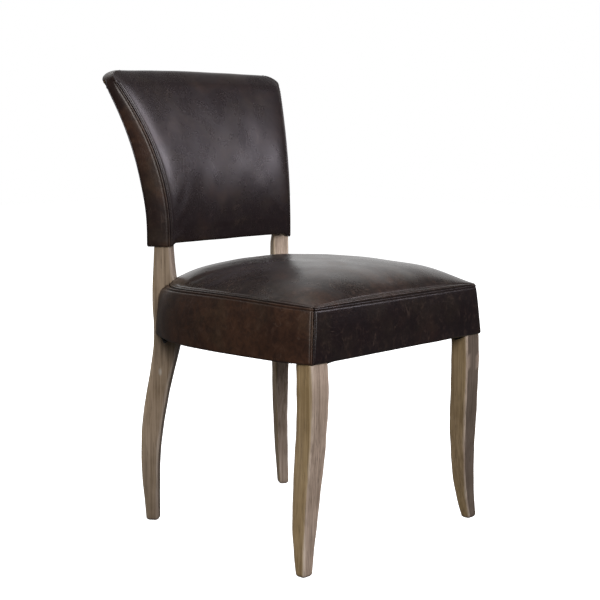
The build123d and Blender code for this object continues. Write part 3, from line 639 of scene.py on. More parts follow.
def swollen(points, cap):
    """How far a sheet held at its edges swells on its foam, from a short cloth simulation."""
    rows, columns = points.shape[:2]
    sheet = new_piece("swelling_sheet", points, grid_faces(rows, columns))
    held = sheet.vertex_groups.new(name="held")
    index = np.arange(rows * columns).reshape(rows, columns)
    edge = np.concatenate([index[0], index[-1], index[:, 0], index[:, -1]])
    held.add([int(i) for i in np.unique(edge)], 1.0, "REPLACE")
    cloth = sheet.modifiers.new("cloth", "CLOTH")
    cloth.settings.vertex_group_mass = "held"
    cloth.settings.use_pressure = True
    cloth.settings.uniform_pressure_force = PRESSURE
    cloth.settings.effector_weights.gravity = 0.0
    cloth.settings.tension_stiffness = STIFFNESS
    cloth.settings.compression_stiffness = STIFFNESS
    cloth.settings.bending_stiffness = BENDING
    cloth.collision_settings.use_collision = False
    scene = bpy.context.scene
    for number in range(1, CLOTH_FRAMES + 1):
        scene.frame_set(number)
    shaped = sheet.evaluated_get(bpy.context.evaluated_depsgraph_get())
    found = np.zeros(rows * columns * 3, np.float32)
    shaped.data.vertices.foreach_get("co", found)
    scene.frame_set(1)
    bpy.data.objects.remove(sheet)
    moved = found.reshape(rows, columns, 3) - (0.0, SEAT_FRONT, 0.0) - points
    size = np.linalg.norm(moved, axis=-1, keepdims=True)
    return moved * np.minimum(1.0, cap / np.maximum(size, 1e-9))


def resampled(field, old_rows, old_columns, rows, columns):
    """A field known on one grid of places, read on another."""
    wide = np.stack([[np.interp(columns, old_columns, line[:, k]) for line in field] for k in range(3)], -1)
    tall = [[np.interp(rows, old_rows, wide[:, j, k]) for j in range(len(columns))] for k in range(3)]
    return np.array(tall).transpose(2, 1, 0)


def notch(mesh, planes):
    """Cut away what lies inside all of these planes, each a point and a normal that leads inside."""
    reach = 0.03
    cut = bmesh.new()
    cut.from_mesh(mesh)
    moved = [(Vector(point) + Vector((0, SEAT_FRONT, 0)), Vector(normal)) for point, normal in planes]

    def faces_past(depth):
        return [face for face in cut.faces
                if all((face.calc_center_median() - point).dot(normal) > depth for point, normal in moved)]

    for place, across in moved:
        near = faces_past(-reach)
        parts = set(near)
        for face in near:
            parts.update(face.edges)
            parts.update(face.verts)
        bmesh.ops.bisect_plane(cut, geom=list(parts), plane_co=place, plane_no=across, dist=1e-5)
    bmesh.ops.delete(cut, geom=faces_past(0), context="FACES")
    loose = [vertex for vertex in cut.verts if not vertex.link_faces]
    bmesh.ops.delete(cut, geom=loose, context="VERTS")
    cut.to_mesh(mesh)
    cut.free()


def post_planes(side, front=POST_FRONT):
    """Outer, inner and front planes of a rear post, facing into it."""
    middle = np.array([BACK_SEAM_X, BACK_SEAM_Y, 0.0])
    inward = np.array([-math.cos(TURN), math.sin(TURN), 0.0])
    back = np.array([math.sin(TURN), math.cos(TURN), 0.0])
    planes = [
        (middle + inward * (POST_OUTER - CLEAR), inward),
        (middle + inward * (POST_INNER + CLEAR), -inward),
        (middle + back * (front - CLEAR), back),
    ]
    return [(point * (side, 1, 1), direction * (side, 1, 1)) for point, direction in planes]


def fill_below(mesh, bottom, draw):
    """Close an open top into a cushion with walls down to a flat bottom, drawn in a little."""
    made = bmesh.new()
    made.from_mesh(mesh)
    top = list(made.faces)
    grown = bmesh.ops.extrude_face_region(made, geom=top, use_keep_orig=True)["geom"]
    middle = Vector((0, SEAT_FRONT + SEAT_DEPTH / 2, 0))
    for part in grown:
        if isinstance(part, bmesh.types.BMVert):
            spot = (part.co - middle) * draw + middle
            part.co = (spot.x, spot.y, bottom)
    bmesh.ops.recalc_face_normals(made, faces=made.faces)
    made.to_mesh(mesh)
    made.free()
    mesh.shade_smooth()


class StitchRows:
    """Collects rows of stitches and makes them one piece."""

    # Rings of one stitch: share of its length, width and lift, in radii
    SHAPE = ((0.0, 0.05, -0.3), (0.12, 0.75, 0.0), (0.5, 1.0, 0.35), (0.88, 0.75, 0.0), (1.0, 0.05, -0.3))
    AROUND = 6
    HALF_LENGTH = 0.33

    def __init__(self, pitch):
        self.pitch = pitch
        self.points = []
        self.faces = []

    def add(self, line, normals):
        """One row of stitches along a line that lies on the leather."""
        steps = np.linalg.norm(np.diff(line, axis=0), axis=1)
        run = np.concatenate([[0.0], np.cumsum(steps)])
        count = int(run[-1] / self.pitch)
        reach = self.HALF_LENGTH * self.pitch
        for place in (np.arange(count) + 0.5) * run[-1] / max(count, 1):
            start, end = [np.array([np.interp(place + shift, run, line[:, k]) for k in range(3)])
                          for shift in (-reach, reach)]
            normal = unit(np.array([np.interp(place, run, normals[:, k]) for k in range(3)]))
            self.capsule(start, end, normal)

    def capsule(self, start, end, normal):
        """One stitch, sunk at both ends."""
        across = np.cross(normal, unit(end - start))
        self.faces += tube_faces(len(self.SHAPE), self.AROUND, len(self.points))
        for share, width, lift in self.SHAPE:
            middle = start + (end - start) * share + normal * (lift * STITCH_RADIUS)
            for angle in np.arange(self.AROUND) * 2 * math.pi / self.AROUND:
                turn = math.cos(angle) * across + math.sin(angle) * normal
                self.points.append(middle + turn * STITCH_RADIUS * width)

    def dressed(self, name):
        """The rows as one piece of thread."""
        dress(new_piece(name, self.points, self.faces), "thread", "leather")


def boxing_rows():
    """Rows down a boxing panel: share of its wall, draw under the seat and rise above its bottom."""
    wall = SEAM_Z - SEAT_BOTTOM - ROLL
    shares = edge_places(wall, True, False) / wall
    angles = np.radians([18, 36, 54, 72, 90])
    hem = ROLL + (HEM - ROLL) * np.array([0.3, 0.65, 1.0])
    share = np.concatenate([shares, np.ones(len(angles) + len(hem))])
    draw = np.concatenate([np.zeros(len(shares)), ROLL * (1 - np.cos(angles)), hem])
    rise = np.concatenate([np.full(len(shares), ROLL), ROLL * (1 - np.sin(angles)), 0 * hem])
    return share[:, None], draw[:, None], rise[:, None]


def boxing_heights(seam, share, rise):
    """Heights of a boxing panel's rows, as shares of its height too, and their distances from its seam."""
    z = np.where(share < 1, seam - share * (seam - SEAT_BOTTOM - ROLL), SEAT_BOTTOM + rise)
    lean = (z - SEAT_BOTTOM) / (seam - SEAT_BOTTOM)
    distance = np.maximum(seam - z, share * (seam - SEAT_BOTTOM - ROLL))
    return z, lean, distance


def swell_of(share):
    """Shape of a boxing panel's swelling down its wall."""
    return np.sin(np.pi * ramp(share, 0, 1)) ** 0.8


def front_boxing(sizes):
    """The seat's front panel, with its seams."""
    share, draw, rise = boxing_rows()
    places = edge_places(2 * SEAT_FRONT_HALF) / SEAT_FRONT_HALF - 1
    s = places[None, :] + 0 * share
    z, lean, from_top = boxing_heights(SEAM_Z + 0 * s, share, rise)
    half = seat_half(FRONT_LEAN * lean) - WALL_LEAN * lean
    y = FRONT_LEAN * lean - sizes.boxing_bulge * swell_of(share) * (1 - np.abs(s) ** 10) + draw
    right = corner_draw((1 + s) * half, lean)
    left = corner_draw((1 - s) * half, lean)
    points = np.stack([s * half + right - left, y + right + left, z], -1)
    seams = [(from_top, UP), ((1 + s) * half, -LEFT), ((1 - s) * half, LEFT)]
    return sewn(points, FRONT, seams)


def side_boxing(side, sizes):
    """One of the seat's side panels, from the front corner to the rear post."""
    share, draw, rise = boxing_rows()
    places = edge_places(SEAT_DEPTH, True, False) / SEAT_DEPTH
    t = places[None, :] + 0 * share
    table = np.linspace(SHOULDER_START - 0.03, SEAT_DEPTH, 400)
    z, lean, _ = boxing_heights(SEAM_Z + 0 * t, share, rise)
    end = np.zeros_like(lean)
    for row in range(len(share)):
        wall = seat_half(table) - WALL_LEAN * lean[row, 0] - shoulder(table, lean[row, 0]) - draw[row, 0]
        room = wall - turned_plane_x(table, POST_OUTER - CLEAR)
        end[row] = np.interp(0.0, -room, table)
    y = FRONT_LEAN * lean + t * (end - FRONT_LEAN * lean)
    z, lean, from_top = boxing_heights(seam_z(y), share, rise)
    step = 0.001
    slope = (seat_half(y + step) - seat_half(y - step)) / (2 * step)
    out = unit(np.stack([np.ones_like(slope), -slope, 0 * slope], -1))
    corner = corner_draw(y - FRONT_LEAN * lean, lean)
    x = seat_half(y) - WALL_LEAN * lean - shoulder(y, lean) - corner
    swell = sizes.boxing_bulge * swell_of(share) * (1 - (2 * t - 1) ** 10)
    points = np.stack([x, y + corner, z], -1) + out * (swell - draw)[..., None]
    points = points * (side, 1, 1)
    return sewn(points, side * LEFT, [(from_top, UP), (y - FRONT_LEAN * lean, FRONT)])


def rear_boxing(sizes):
    """The seat's rear panel, between the posts."""
    share, draw, rise = boxing_rows()
    half = turned_plane_x(SEAT_DEPTH, POST_INNER + CLEAR)
    places = edge_places(2 * half, False, False) / half - 1
    s = places[None, :] + 0 * share
    z, _, from_top = boxing_heights(SEAM_Z + 0 * s, share, rise)
    y = SEAT_DEPTH + 0.4 * sizes.boxing_bulge * swell_of(share) - draw
    points = np.stack([s * half, y + 0 * s, z], -1)
    return sewn(points, -FRONT, [(from_top, UP)])


def back_front_y(z):
    """Front of the back rest at its side seams, below the rounded top."""
    return BACK_SEAM_Y + BACK_LEAN * (np.maximum(0, z - LEAN_START) / LEAN_SPAN) ** 2


def back_depth(z):
    """Thickness of the back rest at its sides."""
    return BACK_THICKNESS - BACK_THINNING * (np.maximum(0, z - THINNING_START) / THINNING_SPAN) ** 1.5


def rear_bulge(z):
    """How far the middle of the outside back stands behind its edges."""
    return REAR_BULGE - REAR_FLATTENING * ramp(z, BACK_BOTTOM, NOSE_START)


def side_limit(z):
    """Half width allowed by the rounded top corners."""
    start = BACK_TOP - CORNER
    edge = turned_plane_x(back_front_y(start) + back_depth(start), 0.0)
    over = np.clip(z - start, 0, CORNER)
    return edge - CORNER + np.sqrt(CORNER ** 2 - over ** 2)


def soft_min(first, second, width=0.004):
    """The smaller of two values, rounded where they cross."""
    return 0.5 * (first + second - np.sqrt((first - second) ** 2 + width ** 2))


def back_rows(bottom=BACK_BOTTOM, step=0.008):
    """Heights up the back rest and how far the rounded top draws each one in, as columns."""
    straight = np.linspace(bottom + UNDER_ROLL, NOSE_START, round((NOSE_START - bottom) / step))
    angles = np.radians(np.arange(8, 91, 8.2))
    z = np.concatenate([straight, NOSE_START + NOSE_HEIGHT * np.sin(angles)])
    nose = np.concatenate([0 * straight, NOSE_ROUND * (1 - np.cos(angles))])
    return z[:, None], nose[:, None]


def past_seams(z):
    """Distance that keeps the seams' grooves off the rounded top."""
    far, rise = 0.03, 0.012
    return far * ramp(z, NOSE_START, NOSE_START + rise)


def back_corners(z, nose):
    """Plan places of the front and rear corners of the back rest at each height."""
    front = back_front_y(z) + nose
    rear = back_front_y(z) + back_depth(z) - nose
    near = soft_min(turned_plane_x(front, 0.0), side_limit(z))
    far = soft_min(turned_plane_x(rear, 0.0), side_limit(z) + REAR_EASE)
    return front, rear, near, far


def roll_lift(z):
    """How far the rolled top stands behind the outside back."""
    lap = 0.0012
    start = NOSE_START - ROLL_OVERLAP / 2
    lift = ROLL_LIFT * np.sin(np.pi * ramp(z, start, start + NOSE_HEIGHT)) ** 0.6 + lap
    return np.where(z > NOSE_START - ROLL_OVERLAP, lift, 0)


def back_front_points(s, sizes):
    """The back's front leather: under its bottom, up the front and over the top to the rear."""
    puff_reach, corner_reach, arch_height = 0.0145, 0.013, 0.12
    z, nose = back_rows()
    front, rear, near, far = back_corners(z, nose)
    edge = (1 - np.abs(s)) * near
    above = ramp(z, BACK_BOTTOM, BACK_BOTTOM + BOTTOM_FADE)
    puff = sizes.back_puff * (1 - np.exp(-edge / puff_reach)) * above * ramp(z, BACK_TOP, NOSE_START)
    hollow = sizes.back_hollow * (1 + 0.5 * np.sin(np.pi * ramp(z, BACK_BOTTOM, BACK_TOP)))
    arch = TOP_ARCH * (1 - s ** 2) * ramp(z, BACK_TOP - arch_height, BACK_TOP) ** 2
    face = np.stack([s * near, front + hollow * (1 - np.abs(s) ** 3) - puff, z + arch], -1)
    face[..., 2] -= (BACK_BOTTOM - SIDE_BOTTOM) * np.exp(-(edge / corner_reach) ** 6) * (1 - above)
    under = [face[0] + UNDER_ROLL * np.array([0, 1 - math.cos(angle), -math.sin(angle)])
             for angle in UNDER_ANGLES]
    inner = under[0] + (0, UNDER_HEM, 0)
    behind = np.stack([s * far, rear + roll_lift(z) + rear_bulge(z) * (1 - s ** 2), z + arch], -1)
    over = z[:, 0] > NOSE_START - ROLL_OVERLAP
    return np.concatenate([[inner], under, face, behind[over][::-1]])


def back_side_points(side):
    """One of the back's side panels, from seam to nailed edge, and how far it is from the seam."""
    swell = 0.0016
    hem_rows = ((0.0, 0.003), (0.0012, 0.001))
    z, nose = back_rows(SIDE_BOTTOM)
    front, rear, near, far = back_corners(z, nose)
    rear = rear + roll_lift(z)
    width = BACK_THICKNESS / math.cos(TURN)
    t = edge_places(width, True, False) / width
    puff = swell * np.sin(np.pi * t) * ramp(z, BACK_TOP, NOSE_START)
    points = np.stack([near + t * (far - near), front + t * (rear - front), z + 0 * t], -1)
    points = points + puff[..., None] * BACK_SIDE
    hem = []
    for rise, draw in hem_rows:
        line = points[0] - (draw, 0, 0)
        line[:, 2] = SIDE_BOTTOM + rise
        hem.append(line)
    points = np.concatenate([hem, points]) * (side, 1, 1)
    lengths = np.concatenate([np.full((len(hem), 1), width), np.hypot(far - near, rear - front)])
    return points, t * lengths + past_seams(points[:, :1, 2])


def back_rear_points():
    """The outside back, between its two nailed edges."""
    z = np.linspace(BACK_BOTTOM, NOSE_START + ROLL_OVERLAP, 42)[:, None]
    _, rear, _, far = back_corners(z, 0 * z)
    s = np.linspace(-1, 1, 61)
    return np.stack([s * far, rear + rear_bulge(z) * (1 - s ** 2), z + 0 * s], -1)


def leg_extents(node, along, across, heights):
    """Lowest and highest reach of a leg in two plan directions at each height."""
    mesh = frame["nodes"][node].data
    spots = np.array([vertex.co for vertex in mesh.vertices])
    edges = np.array([edge.vertices[:] for edge in mesh.edges])
    start, end = spots[edges[:, 0]], spots[edges[:, 1]]
    found = []
    for z in heights:
        crossing = (start[:, 2] - z) * (end[:, 2] - z) < 0
        a, b = start[crossing], end[crossing]
        share = (z - a[:, 2]) / (b[:, 2] - a[:, 2])
        points = a + share[:, None] * (b - a)
        u, v = points[:, :2] @ along, points[:, :2] @ across
        found.append((u.min(), u.max(), v.min(), v.max()))
    return np.array(found)


def leg_piece(node, name, turn, front_painted_light, tone, hidden_from, hidden_round, hidden_corners):
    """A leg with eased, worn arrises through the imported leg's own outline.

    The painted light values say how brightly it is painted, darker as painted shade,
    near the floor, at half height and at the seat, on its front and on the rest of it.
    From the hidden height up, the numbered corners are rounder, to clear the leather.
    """
    low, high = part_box(node)
    along = np.array([math.cos(turn), math.sin(turn)])
    across = np.array([-math.sin(turn), math.cos(turn)])
    shaft = np.linspace(SHAFT_START, high.z - SHAFT_INSET, round(high.z / SHAFT_STEP))
    heights = np.concatenate([FOOT_HEIGHTS, shaft])
    reach = leg_extents(node, along, across, heights)
    rings = []
    for z, (u0, u1, v0, v1) in zip(heights, reach):
        worn = ARRIS + 0.0007 * math.sin(55 * z) + 0.0005 * math.sin(131 * z + 1)
        hidden = hidden_round * ramp(z, hidden_from, hidden_from + ROUND_RISE)
        corners = []
        quarters = ((u1, v1, 1, 1), (u0, v1, -1, 1), (u0, v0, -1, -1), (u1, v0, 1, -1))
        for quarter, (u, v, side_u, side_v) in enumerate(quarters):
            radius = worn + (hidden if quarter in hidden_corners else 0.0)
            angles = ARRIS_ANGLES + quarter * math.pi / 2
            centre = np.array([u - radius * side_u, v - radius * side_v])
            corners.append(centre + radius * np.stack([np.cos(angles), np.sin(angles)], -1))
        corners = np.array(corners)
        last = corners[:, -1:]
        flats = last + FLAT_PLACES[:, None] * (np.roll(corners[:, :1], -1, axis=0) - last)
        plan = np.concatenate([corners[:, :-1], flats], 1).reshape(-1, 2) @ np.stack([along, across])
        rings.append(np.column_stack([plan, np.full(len(plan), z)]))
    rings = np.array(rings)
    rings[0, :, 2] = low.z
    arris = np.tile([1] * len(ARRIS_ANGLES) + [0] * (len(FLAT_PLACES) - 1), (len(rings), 4))
    out = unit((rings - rings.mean(1, keepdims=True)) * (1, 1, 0))
    rings = rings + out * unevenness(rings * (2.5, 2.5, 1.2), LEG_UNEVEN)[..., None]
    front_painted_lights, other_painted_lights = [np.interp(rings[..., 2], PAINTED_LIGHT_HEIGHTS, value * np.ones(3))
                                for value in (front_painted_light, tone)]
    # painted light: front faces take one brightness, the other faces another
    painted_lights = np.where(out[..., 1] < -0.75, front_painted_lights, other_painted_lights)
    points = rings - (0, SEAT_FRONT, 0)
    return new_piece(name, points, tube_faces(*rings.shape[:2]), {"arris": arris, "tone": painted_lights})


class CHAIR_OT_finishes(bpy.types.Operator):
    """Make the leather, wood, cloth, thread and metal"""

    bl_idname = "chair.finishes"
    bl_label = "Finishes"

    def execute(self, context):
        colours = context.scene.chair_colours
        warm_sheen = (1.0, 0.93, 0.89, 1)
        cool_sheen = (1.0, 0.96, 1.0, 1)
        leathers = {
            "leather_seat_top": ((0.0105, 0.0056, 0.0046, 1), 0.3, 0.8, 0.29, warm_sheen, 0.0004),
            "leather_seat_side": ((0.0185, 0.0076, 0.0045, 1), 0.75, 0.6, 0.42, warm_sheen, 0.0006),
            "leather_seat_front": ((0.0066, 0.0030, 0.0034, 1), 0.05, 0.6, 0.31, cool_sheen, 0.0006),
            "leather_back": (colours.leather_dark, 0.1, 0.25, 0.28, cool_sheen, 0.00016),
            "leather_back_side": ((0.0130, 0.0064, 0.0054, 1), 0.5, 0.4, 0.36, warm_sheen, 0.0006),
        }
        for name, look in leathers.items():
            leather_material(name, colours, *look)
        wood_material("weathered_wood", colours.wood_light, colours.wood_dark)
        wood_material("frame_wood", (0.5, 0.38, 0.25, 1), (0.33, 0.22, 0.13, 1), False)
        cloth_material("dust_cloth", (0.006, 0.006, 0.006, 1), (0.016, 0.015, 0.015, 1), 300.0)
        cloth_material("webbing", (0.05, 0.042, 0.035, 1), (0.12, 0.1, 0.08, 1), 180.0)
        thread_material(colours)
        metal_material("steel", (0.6, 0.6, 0.6, 1), (0.32, 0.31, 0.3, 1), 0.3)
        metal_material("aged_brass", (0.2, 0.13, 0.06, 1), (0.05, 0.035, 0.022, 1), 0.35)
        return {"FINISHED"}


class CHAIR_OT_seat_cushion(bpy.types.Operator):
    """Make the crowned top of the seat, swollen on its foam and notched for the posts"""

    bl_idname = "chair.seat_cushion"
    bl_label = "Seat Cushion"

    def execute(self, context):
        sizes = context.scene.chair_sizes
        width = 2 * (SEAT_HALF - WALL_LEAN)
        across = edge_places(width) / width * 2 - 1
        along = edge_places(SEAT_DEPTH) / SEAT_DEPTH * 2 - 1
        points = seat_top_points(across, along, sizes)
        rough = np.linspace(-1, 1, SEAT_GRID)
        start = seat_top_points(rough, rough, sizes, SEAT_SLACK)
        settled = seat_top_points(rough, rough, sizes)
        grown = start + swollen(start, sizes.swell) - settled
        points = points + resampled(grown, rough, rough, along, across)
        t, s = np.meshgrid(along, across, indexing="ij")
        half = seat_edge(points[..., 1])
        seams = [
            ((1 - s) * half, LEFT),
            ((1 + s) * half, -LEFT),
            ((1 + t) * SEAT_DEPTH / 2, FRONT),
            ((1 - t) * SEAT_DEPTH / 2, -FRONT),
        ]
        points, marks = sewn(points, UP, seams, SEAT_UNEVEN)
        normals = grid_normals(points, UP)
        piece = grid_piece("seat_cushion", points, UP, marks)
        for side, _ in SIDES:
            notch(piece.data, post_planes(side, POST_WAIST))
        fill_below(piece.data, SEAM_Z - CUSHION_DEPTH, CUSHION_DRAW)
        dress(piece, "leather_seat_top", "leather", "seat_top_cover", "seat_foam")
        stitches = StitchRows(sizes.stitch_pitch)
        row = STITCH_COLUMN
        stitches.add(points[row, row:-row], normals[row, row:-row])
        for column in (row, -row - 1):
            clear = points[:, column, 1] < BACK_SEAM_Y - STITCH_CLEARANCE
            stitches.add(points[clear][row:, column], normals[clear][row:, column])
        stitches.dressed("seat_top_stitches")
        return {"FINISHED"}


class CHAIR_OT_seat_boxing(bpy.types.Operator):
    """Make the four upright panels round the seat and their stitches"""

    bl_idname = "chair.seat_boxing"
    bl_label = "Seat Boxing"

    def execute(self, context):
        sizes = context.scene.chair_sizes
        stitches = StitchRows(sizes.stitch_pitch)
        row = STITCH_COLUMN
        panels = {
            "seat_front": (front_boxing(sizes), FRONT, "front", "seat_front_cover", (row, -row - 1)),
            "seat_side_right": (side_boxing(-1, sizes), -LEFT, "side", "seat_side_cover_right", (row,)),
            "seat_side_left": (side_boxing(1, sizes), LEFT, "side", "seat_side_cover_left", (row,)),
            "seat_rear": (rear_boxing(sizes), -FRONT, "front", "seat_rear_cover", ()),
        }
        wall = int(np.sum(boxing_rows()[0] < 1))
        for name, ((points, marks), outward, look, cover, sewn_columns) in panels.items():
            _, normals = leather_panel(name, points, outward, marks, "leather_seat_" + look, cover)
            stitches.add(points[row, row:-2], normals[row, row:-2])
            for column in sewn_columns:
                stitches.add(points[row:wall, column], normals[row:wall, column])
        stitches.dressed("seat_boxing_stitches")
        return {"FINISHED"}


class CHAIR_OT_back_leather(bpy.types.Operator):
    """Make the back rest's front, sides and outside back, with their stitches"""

    bl_idname = "chair.back_leather"
    bl_label = "Back Leather"

    def execute(self, context):
        sizes = context.scene.chair_sizes
        stitches = StitchRows(sizes.stitch_pitch)
        row = STITCH_COLUMN
        heights = back_rows()[0]
        width = 2 * turned_plane_x(BACK_SEAM_Y + BACK_LEAN, 0.0)
        places = edge_places(width) / width * 2 - 1
        points = back_front_points(places, sizes)
        held = points[UNDER_ROWS:UNDER_ROWS + int(np.sum(heights <= NOSE_START))]
        rows = np.linspace(0, 1, len(held))
        rough_rows, rough = np.linspace(0, 1, BACK_GRID), np.linspace(-1, 1, BACK_GRID)
        start = resampled(held, rows, places, rough_rows, rough)
        grown = swollen(start, BACK_SWELL * sizes.swell)
        held += resampled(grown, rough_rows, rough, rows, places)
        half = np.abs(points[:, :1, 0])
        top = UNDER_ROWS + len(heights)
        past = past_seams(points[:, :1, 2])
        past[top:] = past.max()
        seams = [
            ((1 - places) * half + past, BACK_SIDE),
            ((1 + places) * half + past, BACK_SIDE * (-1, 1, 1)),
        ]
        points, marks = sewn(points, BACK_FACE, seams, BACK_UNEVEN)
        piece, normals = leather_panel("back_front", points, BACK_FACE, marks, "leather_back",
                                       "back_front_cover", "back_foam")
        for column in (row, -row - 1):
            stitches.add(points[UNDER_ROWS:top, column], normals[UNDER_ROWS:top, column])
        sewn_rows = slice(3, -4)
        for side, name in SIDES:
            points, distance = back_side_points(side)
            outward = BACK_SIDE * (side, 1, 1)
            points, marks = sewn(points, outward, [(distance, BACK_FACE)], BACK_UNEVEN)
            _, normals = leather_panel("back_side_" + name, points, outward, marks, "leather_back_side",
                                       "back_side_cover_" + name)
            stitches.add(points[sewn_rows, row], normals[sewn_rows, row])
        points = back_rear_points()
        calm = 1 - np.abs(np.linspace(-1, 1, points.shape[1])) ** 6
        points[..., 1] += unevenness(points, REAR_UNEVEN) * calm
        leather_panel("back_rear", points, -FRONT, None, "leather_back", "back_rear_cover")
        stitches.dressed("back_stitches")
        return {"FINISHED"}


class CHAIR_OT_legs(bpy.types.Operator):
    """Make the four weathered legs with worn arrises and painted shade"""

    bl_idname = "chair.legs"
    bl_label = "Legs"

    def execute(self, context):
        # painted shade: how brightly each leg is painted, by front face and other faces, and the near rear
        # leg by height
        near_rear_painted_light = np.array([0.46, 0.69, 0.55])
        painted_lights = {"right": (0.78, 0.79, near_rear_painted_light), "left": (0.23, 0.66, 1.0)}
        for side, name in SIDES:
            front_painted_light, side_painted_light, rear_painted_light = painted_lights[name]
            inner_rear = 0 if side < 0 else 1
            front = (0.0, front_painted_light, side_painted_light, SEAT_BOTTOM, FRONT_LEG_ROUND, range(4))
            rear = (-side * TURN, rear_painted_light, rear_painted_light, POST_ROUND_START, POST_ROUND, (inner_rear,))
            for leg, form in (("front_leg_", front), ("rear_leg_", rear)):
                piece = leg_piece(leg + name, leg + "worn_" + name, *form)
                dress(piece, "weathered_wood", "weathered_wood", leg + name)
        return {"FINISHED"}


class CHAIR_OT_dust_cover(bpy.types.Operator):
    """Make the thin black cloth stretched under the seat"""

    bl_idname = "chair.dust_cover"
    bl_label = "Dust Cover"

    def execute(self, context):
        sag_depth, droop, leg_lap, thickness = 0.0035, 0.009, 0.006, 0.0006
        leg_rear, post_front, droop_width, droop_length = 0.028, 0.402, 0.012, 0.016
        low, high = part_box("dust_cover")
        leg_low, leg_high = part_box("front_leg_left")
        inset = SEAT_HALF - high.x
        front, depth = low.y - SEAT_FRONT, high.y - low.y
        t, s = np.meshgrid(np.linspace(0, 1, 60), np.linspace(-1, 1, 66), indexing="ij")
        y = front + t * depth
        x = s * (seat_half(y) - inset)
        piece = grid_piece("dust_cloth", np.stack([x, y, low.z + 0 * s], -1), -UP)
        for side, _ in SIDES:
            inner = [(side * (leg_low.x + leg_lap), 0, 0), (side, 0, 0)]
            behind = [(0, leg_high.y - SEAT_FRONT + CLEAR, 0), (0, -1, 0)]
            notch(piece.data, [inner, behind])
            notch(piece.data, post_planes(side))
        spots = np.array([vertex.co for vertex in piece.data.vertices])
        x, y = np.abs(spots[:, 0]), spots[:, 1] - SEAT_FRONT
        s, t = x / (seat_half(y) - inset), (y - front) / depth
        sag = sag_depth * (1 - s ** 2) * np.sin(np.pi * t)
        behind_leg = np.exp(-((x - leg_low.x) / droop_width) ** 2 - ((y - leg_rear) / droop_length) ** 2)
        beside_post = np.exp(-((y - post_front) / droop_width) ** 2) * s ** 40
        spots[:, 2] -= sag + droop * np.maximum(behind_leg, beside_post)
        piece.data.vertices.foreach_set("co", spots.ravel())
        piece.data.update()
        thicken(piece, thickness)
        dress(piece, "dust_cloth", "dust_cloth", "dust_cover")
        return {"FINISHED"}


class CHAIR_OT_hidden_pieces(bpy.types.Operator):
    """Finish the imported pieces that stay: rails, blocks, straps, bolts, staples and nails"""

    bl_idname = "chair.hidden_pieces"
    bl_label = "Frame and Fasteners"

    def execute(self, context):
        slots = {part["node"]: part["material_slot"] for part in frame["record"]["subparts"]}
        for name, node in frame["nodes"].items():
            if node.hide_render:
                continue
            node.data.materials.clear()
            node.data.materials.append(material_named(slots[name]))
        return {"FINISHED"}


def aim(holder, place, direction):
    """Put a lamp or camera at a place and turn it to look along a direction."""
    holder.location = place
    holder.rotation_euler = direction.to_track_quat("-Z", "Y").to_euler()


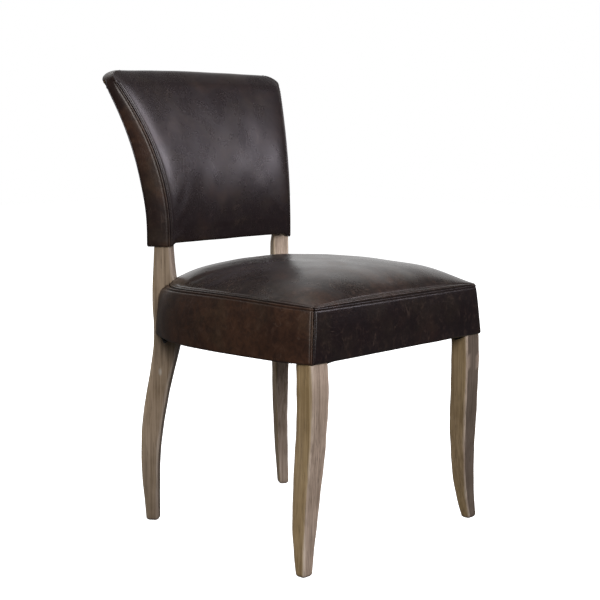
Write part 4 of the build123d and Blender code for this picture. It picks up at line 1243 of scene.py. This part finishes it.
class CHAIR_OT_studio(bpy.types.Operator):
    """Make the pale floor, the soft light and the photograph's camera"""

    bl_idname = "chair.studio"
    bl_label = "Studio"

    def execute(self, context):
        scene = context.scene
        scene.view_settings.view_transform = "Standard"
        black, grey, white = [(level, level, level, 1) for level in (0.0, 0.09, 1.0)]
        floor = bpy.data.meshes.new("floor")
        corners = [(x * FLOOR_HALF, y * FLOOR_HALF, 0) for x, y in ((-1, -1), (1, -1), (1, 1), (-1, 1))]
        floor.from_pydata(corners, [], [(0, 1, 2, 3)])
        ground = new_object("floor", floor)
        place, shader = new_material(
            "pale_floor", {"Specular IOR Level": 0.1, "Roughness": 0.9, "Emission Strength": 1.0})
        seen = place.node("ShaderNodeLightPath")
        pale = place.noise(3.0, 2.0, 0.5).blend((0.9, 0.9, 0.9, 1), (0.94, 0.94, 0.94, 1))
        feed(shader, colour=seen.blend(grey, pale), glow=seen.blend(black, white))
        floor.materials.append(material_named("pale_floor"))
        world = bpy.data.worlds.new("studio")
        world.use_nodes = True
        scene.world = world
        sky = world.node_tree.nodes["Background"]
        strength = Shade(world.node_tree).node("ShaderNodeLightPath") * (1 - SKY_LIGHT) + SKY_LIGHT
        world.node_tree.links.new(strength.socket, sky.inputs["Strength"])
        sky.inputs["Color"].default_value = white
        plain, cool = (1, 1, 1), (0.97, 0.93, 1)
        lamps = {
            "overhead": ((-0.2, 0.0, 2.6), (2.4, 2.4), 22.0, plain),
            "camera_side": ((-1.9, -2.4, 1.9), (1.8, 1.8), 115.0, plain),
            "right_front": ((1.55, -2.1, 2.3), (1.1, 1.7), 45.0, cool),
            "right_low": ((1.62, -1.98, 1.5), (0.6, 0.8), 4.4, cool),
            "behind": ((2.8, 2.6, 1.8), (5.0, 3.6), 52.0, plain),
            "rear": ((-0.2, 2.9, 2.3), (2.6, 2.0), 26.0, plain),
        }
        for name, (spot, size, power, colour) in lamps.items():
            lamp = bpy.data.lights.new(name, "AREA")
            lamp.shape = "RECTANGLE"
            lamp.size, lamp.size_y = size
            lamp.energy = power
            lamp.color = colour
            holder = new_object(name, lamp)
            holder.visible_camera = False
            aim(holder, spot, LAMP_TARGET - Vector(spot))
        back = Vector((
            math.sin(PHOTO_AZIMUTH) * math.cos(PHOTO_ELEVATION),
            -math.cos(PHOTO_AZIMUTH) * math.cos(PHOTO_ELEVATION),
            math.sin(PHOTO_ELEVATION),
        ))
        lens = bpy.data.cameras.new("photo_camera")
        lens.sensor_width = PHOTO_SENSOR
        lens.lens = PHOTO_LENS
        scene.camera = new_object("photo_camera", lens)
        aim(scene.camera, PHOTO_TARGET + back * PHOTO_DISTANCE, -back)
        return {"FINISHED"}


class CHAIR_PT_panel(bpy.types.Panel):
    """The chair's sizes, colours and steps"""

    bl_idname = "CHAIR_PT_panel"
    bl_label = "Leather Side Chair"
    bl_space_type = "VIEW_3D"
    bl_region_type = "UI"
    bl_category = "Chair"

    def draw(self, context):
        for group in (context.scene.chair_sizes, context.scene.chair_colours):
            for name in group.__annotations__:
                self.layout.prop(group, name)
        for step in STEPS:
            self.layout.operator(step.bl_idname)


STEPS = (
    CHAIR_OT_finishes,
    CHAIR_OT_seat_cushion,
    CHAIR_OT_seat_boxing,
    CHAIR_OT_back_leather,
    CHAIR_OT_legs,
    CHAIR_OT_dust_cover,
    CHAIR_OT_hidden_pieces,
    CHAIR_OT_studio,
)
CLASSES = (ChairSizes, ChairColours, *STEPS, CHAIR_PT_panel)


def register():
    for part in CLASSES:
        bpy.utils.register_class(part)
    bpy.types.Scene.chair_sizes = bpy.props.PointerProperty(type=ChairSizes)
    bpy.types.Scene.chair_colours = bpy.props.PointerProperty(type=ChairColours)


def unregister():
    del bpy.types.Scene.chair_colours
    del bpy.types.Scene.chair_sizes
    for part in reversed(CLASSES):
        bpy.utils.unregister_class(part)


def main():
    register()
    bpy.ops.chair.finishes()
    bpy.ops.chair.seat_cushion()
    bpy.ops.chair.seat_boxing()
    bpy.ops.chair.back_leather()
    bpy.ops.chair.legs()
    bpy.ops.chair.dust_cover()
    bpy.ops.chair.hidden_pieces()
    bpy.ops.chair.studio()


if __name__ == "__main__":
    main()
